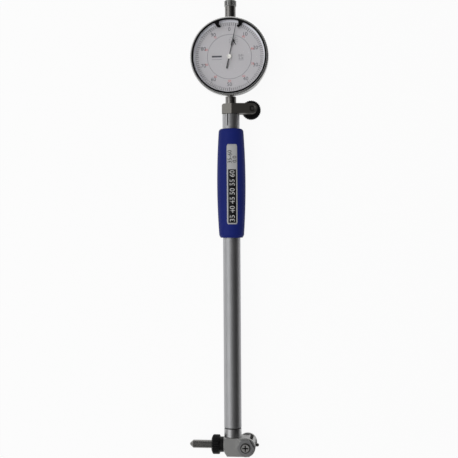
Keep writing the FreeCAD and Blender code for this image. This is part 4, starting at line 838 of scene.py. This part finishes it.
@dataclass
class CoilSpring:
    """Round wire carried along a helix, in place of a plain sleeve."""

    name: str
    body: str
    axis: Axis
    coil_radius: float
    wire: float
    turns: int

    def build(self, start: Vector, length: float) -> bpy.types.Object:
        """Make the coil.

        A point is c + L s d + (R + w cos q)(e1 cos p + e2 sin p) + w sin q d, with s along the
        spring, p = 2 pi turns s and q round the wire.

        Args:
            start: middle of the coil's first end.
            length: length along the axis.

        Returns:
            The new object.
        """
        steps, sides = self.turns * 20, 8
        s = np.linspace(0.0, 1.0, steps)
        close = np.clip(np.minimum(s, 1 - s) / 0.06, 0.0, 1.0)
        p = 2 * np.pi * self.turns * s
        q = np.linspace(0.0, 2 * np.pi, sides, endpoint=False)
        ring = self.coil_radius - self.wire + self.wire * np.cos(q)[None]
        section = self.wire * np.sin(q)[None] * (0.6 + 0.4 * close[:, None])
        along = self.wire + (length - 2 * self.wire) * s[:, None] + section
        local = np.stack([ring * np.cos(p)[:, None], ring * np.sin(p)[:, None], along], -1)
        order = {Axis.X: (2, 0, 1), Axis.Y: (1, 2, 0), Axis.Z: (0, 1, 2)}[self.axis]
        points = (local[..., order] + np.array(start)).reshape(-1, 3)
        i, j = np.meshgrid(np.arange(steps - 1), np.arange(sides), indexing="ij")
        a, b = i * sides + j, i * sides + (j + 1) % sides
        body = np.stack([a, a + sides, b + sides, b], -1).reshape(-1, 4).tolist()
        body += [list(range(sides)), [(steps - 1) * sides + k for k in range(sides)][::-1]]
        mesh = bpy.data.meshes.new(self.name)
        mesh.from_pydata(points.tolist(), [], body)
        mesh.polygons.foreach_set("use_smooth", np.full(len(mesh.polygons), True))
        piece = bpy.data.objects.new(self.name, mesh)
        bpy.context.scene.collection.objects.link(piece)
        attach(piece, self.body)
        return report(piece)


class Gauge:
    """All CAD nodes of the gauge with the finishes that they carry."""

    hub_radius = 1.75 * MM
    wall_margin = 0.06 * MM

    def special(self, node: str, marks: bpy.types.NodeTree) -> bpy.types.Material | None:
        """Finish of a node that doesn't just follow its slot.

        Args:
            node: the node's name.
            marks: the shared group of working marks.

        Returns:
            The material, or None where the slot's own finish is right.
        """
        if node == "pointer":
            low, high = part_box("centre_pinion")
            return HubFinish("pointer_enamel", tuple((low + high) / 2), self.hub_radius).material()
        if node == "neck_collar":
            return MetalFinish("collar_steel", (0.66, 0.66, 0.67), 0.34, 0.08, 0.10).material(Axis.Y, marks)
        if node == "bezel":
            low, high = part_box("crystal")
            radius = (high.x - low.x) / 2 + self.wall_margin
            return WallFinish("bezel_steel", tuple((low + high) / 2), radius).material()
        if node.startswith("bridge_screw"):
            low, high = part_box(node)
            return ScrewFinish(node + "_steel", tuple((low + high) / 2)).material()
        return None

    def dress(self, marks: bpy.types.NodeTree) -> None:
        """Give every node its finish by slot and working direction."""
        slots = {entry["node"]: entry["material_slot"] for entry in frame["record"]["subparts"]}
        for node, thing in frame["nodes"].items():
            slot = slots[node]
            axis = Axis.X if node in ALONG_X else Axis.Z if node in ALONG_Z else Axis.Y
            finish = self.special(node, marks)
            if finish is None and slot == "crystal_clear":
                finish = CrystalFinish().material()
            elif finish is None:
                finish = METALS[slot].material(axis, marks) if slot in METALS else COATS[slot].material()
            for holder in thing.material_slots:
                holder.material = finish
            log.info("%s wears %s", node, finish.name)


@dataclass
class Studio:
    """Floor, sky, soft lamps, cards and camera."""

    aim: tuple = (-0.25 * MM, -2.15 * MM, 12.5 * MM)
    distance: float = 675.0 * MM
    azimuth: float = math.radians(6.0)
    roll: float = math.radians(0.36)
    sky_level: float = 0.34
    sky_in_metal: float = 0.13
    floor_in_metal: float = 0.30
    floor_glow: float = 0.93

    def floor(self) -> None:
        """White sweep that keeps the gauge's shadow."""
        size = 6.0
        points = np.array([[-size, -size, 0], [size, -size, 0], [size, size, 0], [-size, size, 0]], float)
        mesh = bpy.data.meshes.new("floor")
        mesh.from_pydata((points - np.array([0, 0, 0.00002])).tolist(), [], [[0, 1, 2, 3]])
        thing = bpy.data.objects.new("floor", mesh)
        bpy.context.scene.collection.objects.link(thing)
        made = bpy.data.materials.new("white_floor")
        made.use_nodes = True
        tree = made.node_tree
        shader = tree.nodes["Principled BSDF"]
        shader.inputs["Base Color"].default_value = (0.82, 0.82, 0.82, 1)
        shader.inputs["Roughness"].default_value = 0.9
        shader.inputs["Specular IOR Level"].default_value = 0.0
        glow = tree.nodes.new("ShaderNodeEmission")
        glow.inputs["Strength"].default_value = 1.0
        rays = tree.nodes.new("ShaderNodeLightPath")
        seen = math_node(tree, "MAXIMUM", seen_directly(tree, rays),
                         math_node(tree, "MULTIPLY", rays.outputs["Is Glossy Ray"], self.floor_in_metal))
        join = tree.nodes.new("ShaderNodeMixShader")
        link(tree, math_node(tree, "MULTIPLY", seen, self.floor_glow), join.inputs[0])
        link(tree, shader.outputs[0], join.inputs[1])
        link(tree, glow.outputs[0], join.inputs[2])
        link(tree, join.outputs[0], tree.nodes["Material Output"].inputs["Surface"])
        mesh.materials.append(made)

    def sky(self) -> None:
        """Even world light: white to the eye, softer on the object."""
        world = bpy.data.worlds.new("studio")
        bpy.context.scene.world = world
        world.use_nodes = True
        tree = world.node_tree
        back = tree.nodes["Background"]
        back.inputs["Color"].default_value = (1, 1, 1, 1)
        rays = tree.nodes.new("ShaderNodeLightPath")
        seen = seen_directly(tree, rays)
        level = math_node(tree, "SUBTRACT", self.sky_level, math_node(tree, "MULTIPLY", rays.outputs["Is Glossy Ray"],
                                                                      self.sky_level - self.sky_in_metal))
        rest = math_node(tree, "MULTIPLY", math_node(tree, "SUBTRACT", 1.0, seen), level)
        link(tree, math_node(tree, "ADD", seen, rest), back.inputs["Strength"])

    def lamp(self, name: str, place: tuple, size: tuple, power: float, glossy: bool = True) -> None:
        """Rectangular soft lamp that looks at the gauge's middle."""
        data = bpy.data.lights.new(name, "AREA")
        data.shape = "RECTANGLE"
        data.size, data.size_y = size
        data.energy = power
        thing = bpy.data.objects.new(name, data)
        thing.location = place
        thing.visible_glossy = glossy
        away = Vector(place) - Vector(self.aim)
        thing.rotation_euler = away.to_track_quat("Z", "Y").to_euler()
        bpy.context.scene.collection.objects.link(thing)

    def card(self, name: str, points: list, grey: float) -> None:
        """Card that only shows in the metal's reflections.

        Args:
            name: the card's name.
            points: its four corners.
            grey: how much light it gives back.
        """
        mesh = bpy.data.meshes.new(name)
        mesh.from_pydata(points, [], [[0, 1, 2, 3]])
        thing = bpy.data.objects.new(name, mesh)
        bpy.context.scene.collection.objects.link(thing)
        made = bpy.data.materials.new(name)
        made.use_nodes = True
        made.node_tree.nodes["Principled BSDF"].inputs["Base Color"].default_value = (grey, grey, grey, 1)
        mesh.materials.append(made)
        thing.visible_camera = thing.visible_diffuse = thing.visible_shadow = thing.visible_transmission = False

    def flag(self, name: str, place: tuple, size: tuple) -> None:
        """Dark card that faces the gauge's middle."""
        x, y = size[0] / 2, size[1] / 2
        away = Vector(place) - Vector(self.aim)
        turn = Matrix.Translation(Vector(place)) @ away.to_track_quat("Z", "Y").to_matrix().to_4x4()
        corners = ((-x, -y, 0), (x, -y, 0), (x, y, 0), (-x, y, 0))
        self.card(name, [tuple(turn @ Vector(point)) for point in corners], 0.01)

    def floor_flag(self) -> None:
        """Grey card on the floor to the right."""
        near, far, side, level = 0.045, 1.2, 1.0, 0.0004
        corners = [(near, -side, level), (far, -side, level), (far, side, level), (near, side, level)]
        self.card("grey_card", corners, 0.22)

    def camera(self) -> None:
        """Camera above the dial, a little to the right of it."""
        data = bpy.data.cameras.new("camera")
        data.lens, data.sensor_width = 70.7, 36.0
        data.clip_start, data.clip_end = 0.05, 20.0
        thing = bpy.data.objects.new("camera", data)
        away = Vector((math.sin(self.azimuth), 0.0, math.cos(self.azimuth)))
        right = Vector((0, 1, 0)).cross(away).normalized()
        up = away.cross(right)
        turn = Matrix((right, up, away)).transposed().to_4x4() @ Matrix.Rotation(-self.roll, 4, "Z")
        thing.matrix_world = Matrix.Translation(Vector(self.aim) + away * self.distance) @ turn
        bpy.context.scene.collection.objects.link(thing)
        bpy.context.scene.camera = thing

    def build(self) -> None:
        """Set up the whole studio."""
        self.floor()
        self.sky()
        self.lamp("key", (-0.80, -0.05, 0.85), (1.9, 1.0), 4.6)
        self.lamp("fill", (-0.12, 0.05, 1.30), (0.9, 0.9), 4.2, glossy=False)
        self.flag("dark_card", (0.42, -0.02, 0.36), (1.5, 0.8))
        self.floor_flag()
        self.camera()


def wind_springs(marks: bpy.types.NodeTree) -> None:
    """Wind the bridge springs and the rod spring as coils of one fixed length; they don't shorten as their joints
    move.

    Args:
        marks: the shared group of working marks.
    """
    steel = METALS["spring_steel"]
    low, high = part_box("bridge_springs")
    length = high.x - low.x
    upper = (high.y - BRIDGE_COIL, high.z - BRIDGE_COIL)
    lower = (low.y + BRIDGE_COIL, low.z + BRIDGE_COIL)
    for name, (y, z) in (("bridge_coil_upper", upper), ("bridge_coil_lower", lower)):
        start = Vector((low.x, y, z))
        coil = CoilSpring(name, "gauge", Axis.X, BRIDGE_COIL, 0.2 * MM, 7).build(start, length)
        coil.data.materials.append(steel.material(Axis.X, marks))
        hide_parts("bridge_springs")
        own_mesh(coil)
    low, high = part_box("rod_spring")
    length, middle = high.y - low.y, (low + high) / 2
    radius = (high.z - low.z) / 2
    start, stop = (Vector((middle.x, y, middle.z)) for y in (low.y, high.y))
    coil = CoilSpring("rod_coil", "gauge", Axis.Y, radius, 0.3 * MM, 9).build(start, length)
    coil.data.materials.append(steel.material(Axis.Y, marks))
    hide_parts("rod_spring")
    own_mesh(coil)


def main() -> None:
    """Dress the gauge, add its printed and wound pieces, and set up the studio."""
    logging.basicConfig(level=logging.INFO, format="%(message)s")
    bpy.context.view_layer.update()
    scene = bpy.context.scene
    scene.view_settings.view_transform = "Standard"
    marks = build_working_marks()
    Gauge().dress(marks)
    DialPrint().build()
    GripLabel().build()
    wind_springs(marks)
    Studio().build()


if __name__ == "__main__":
    main()
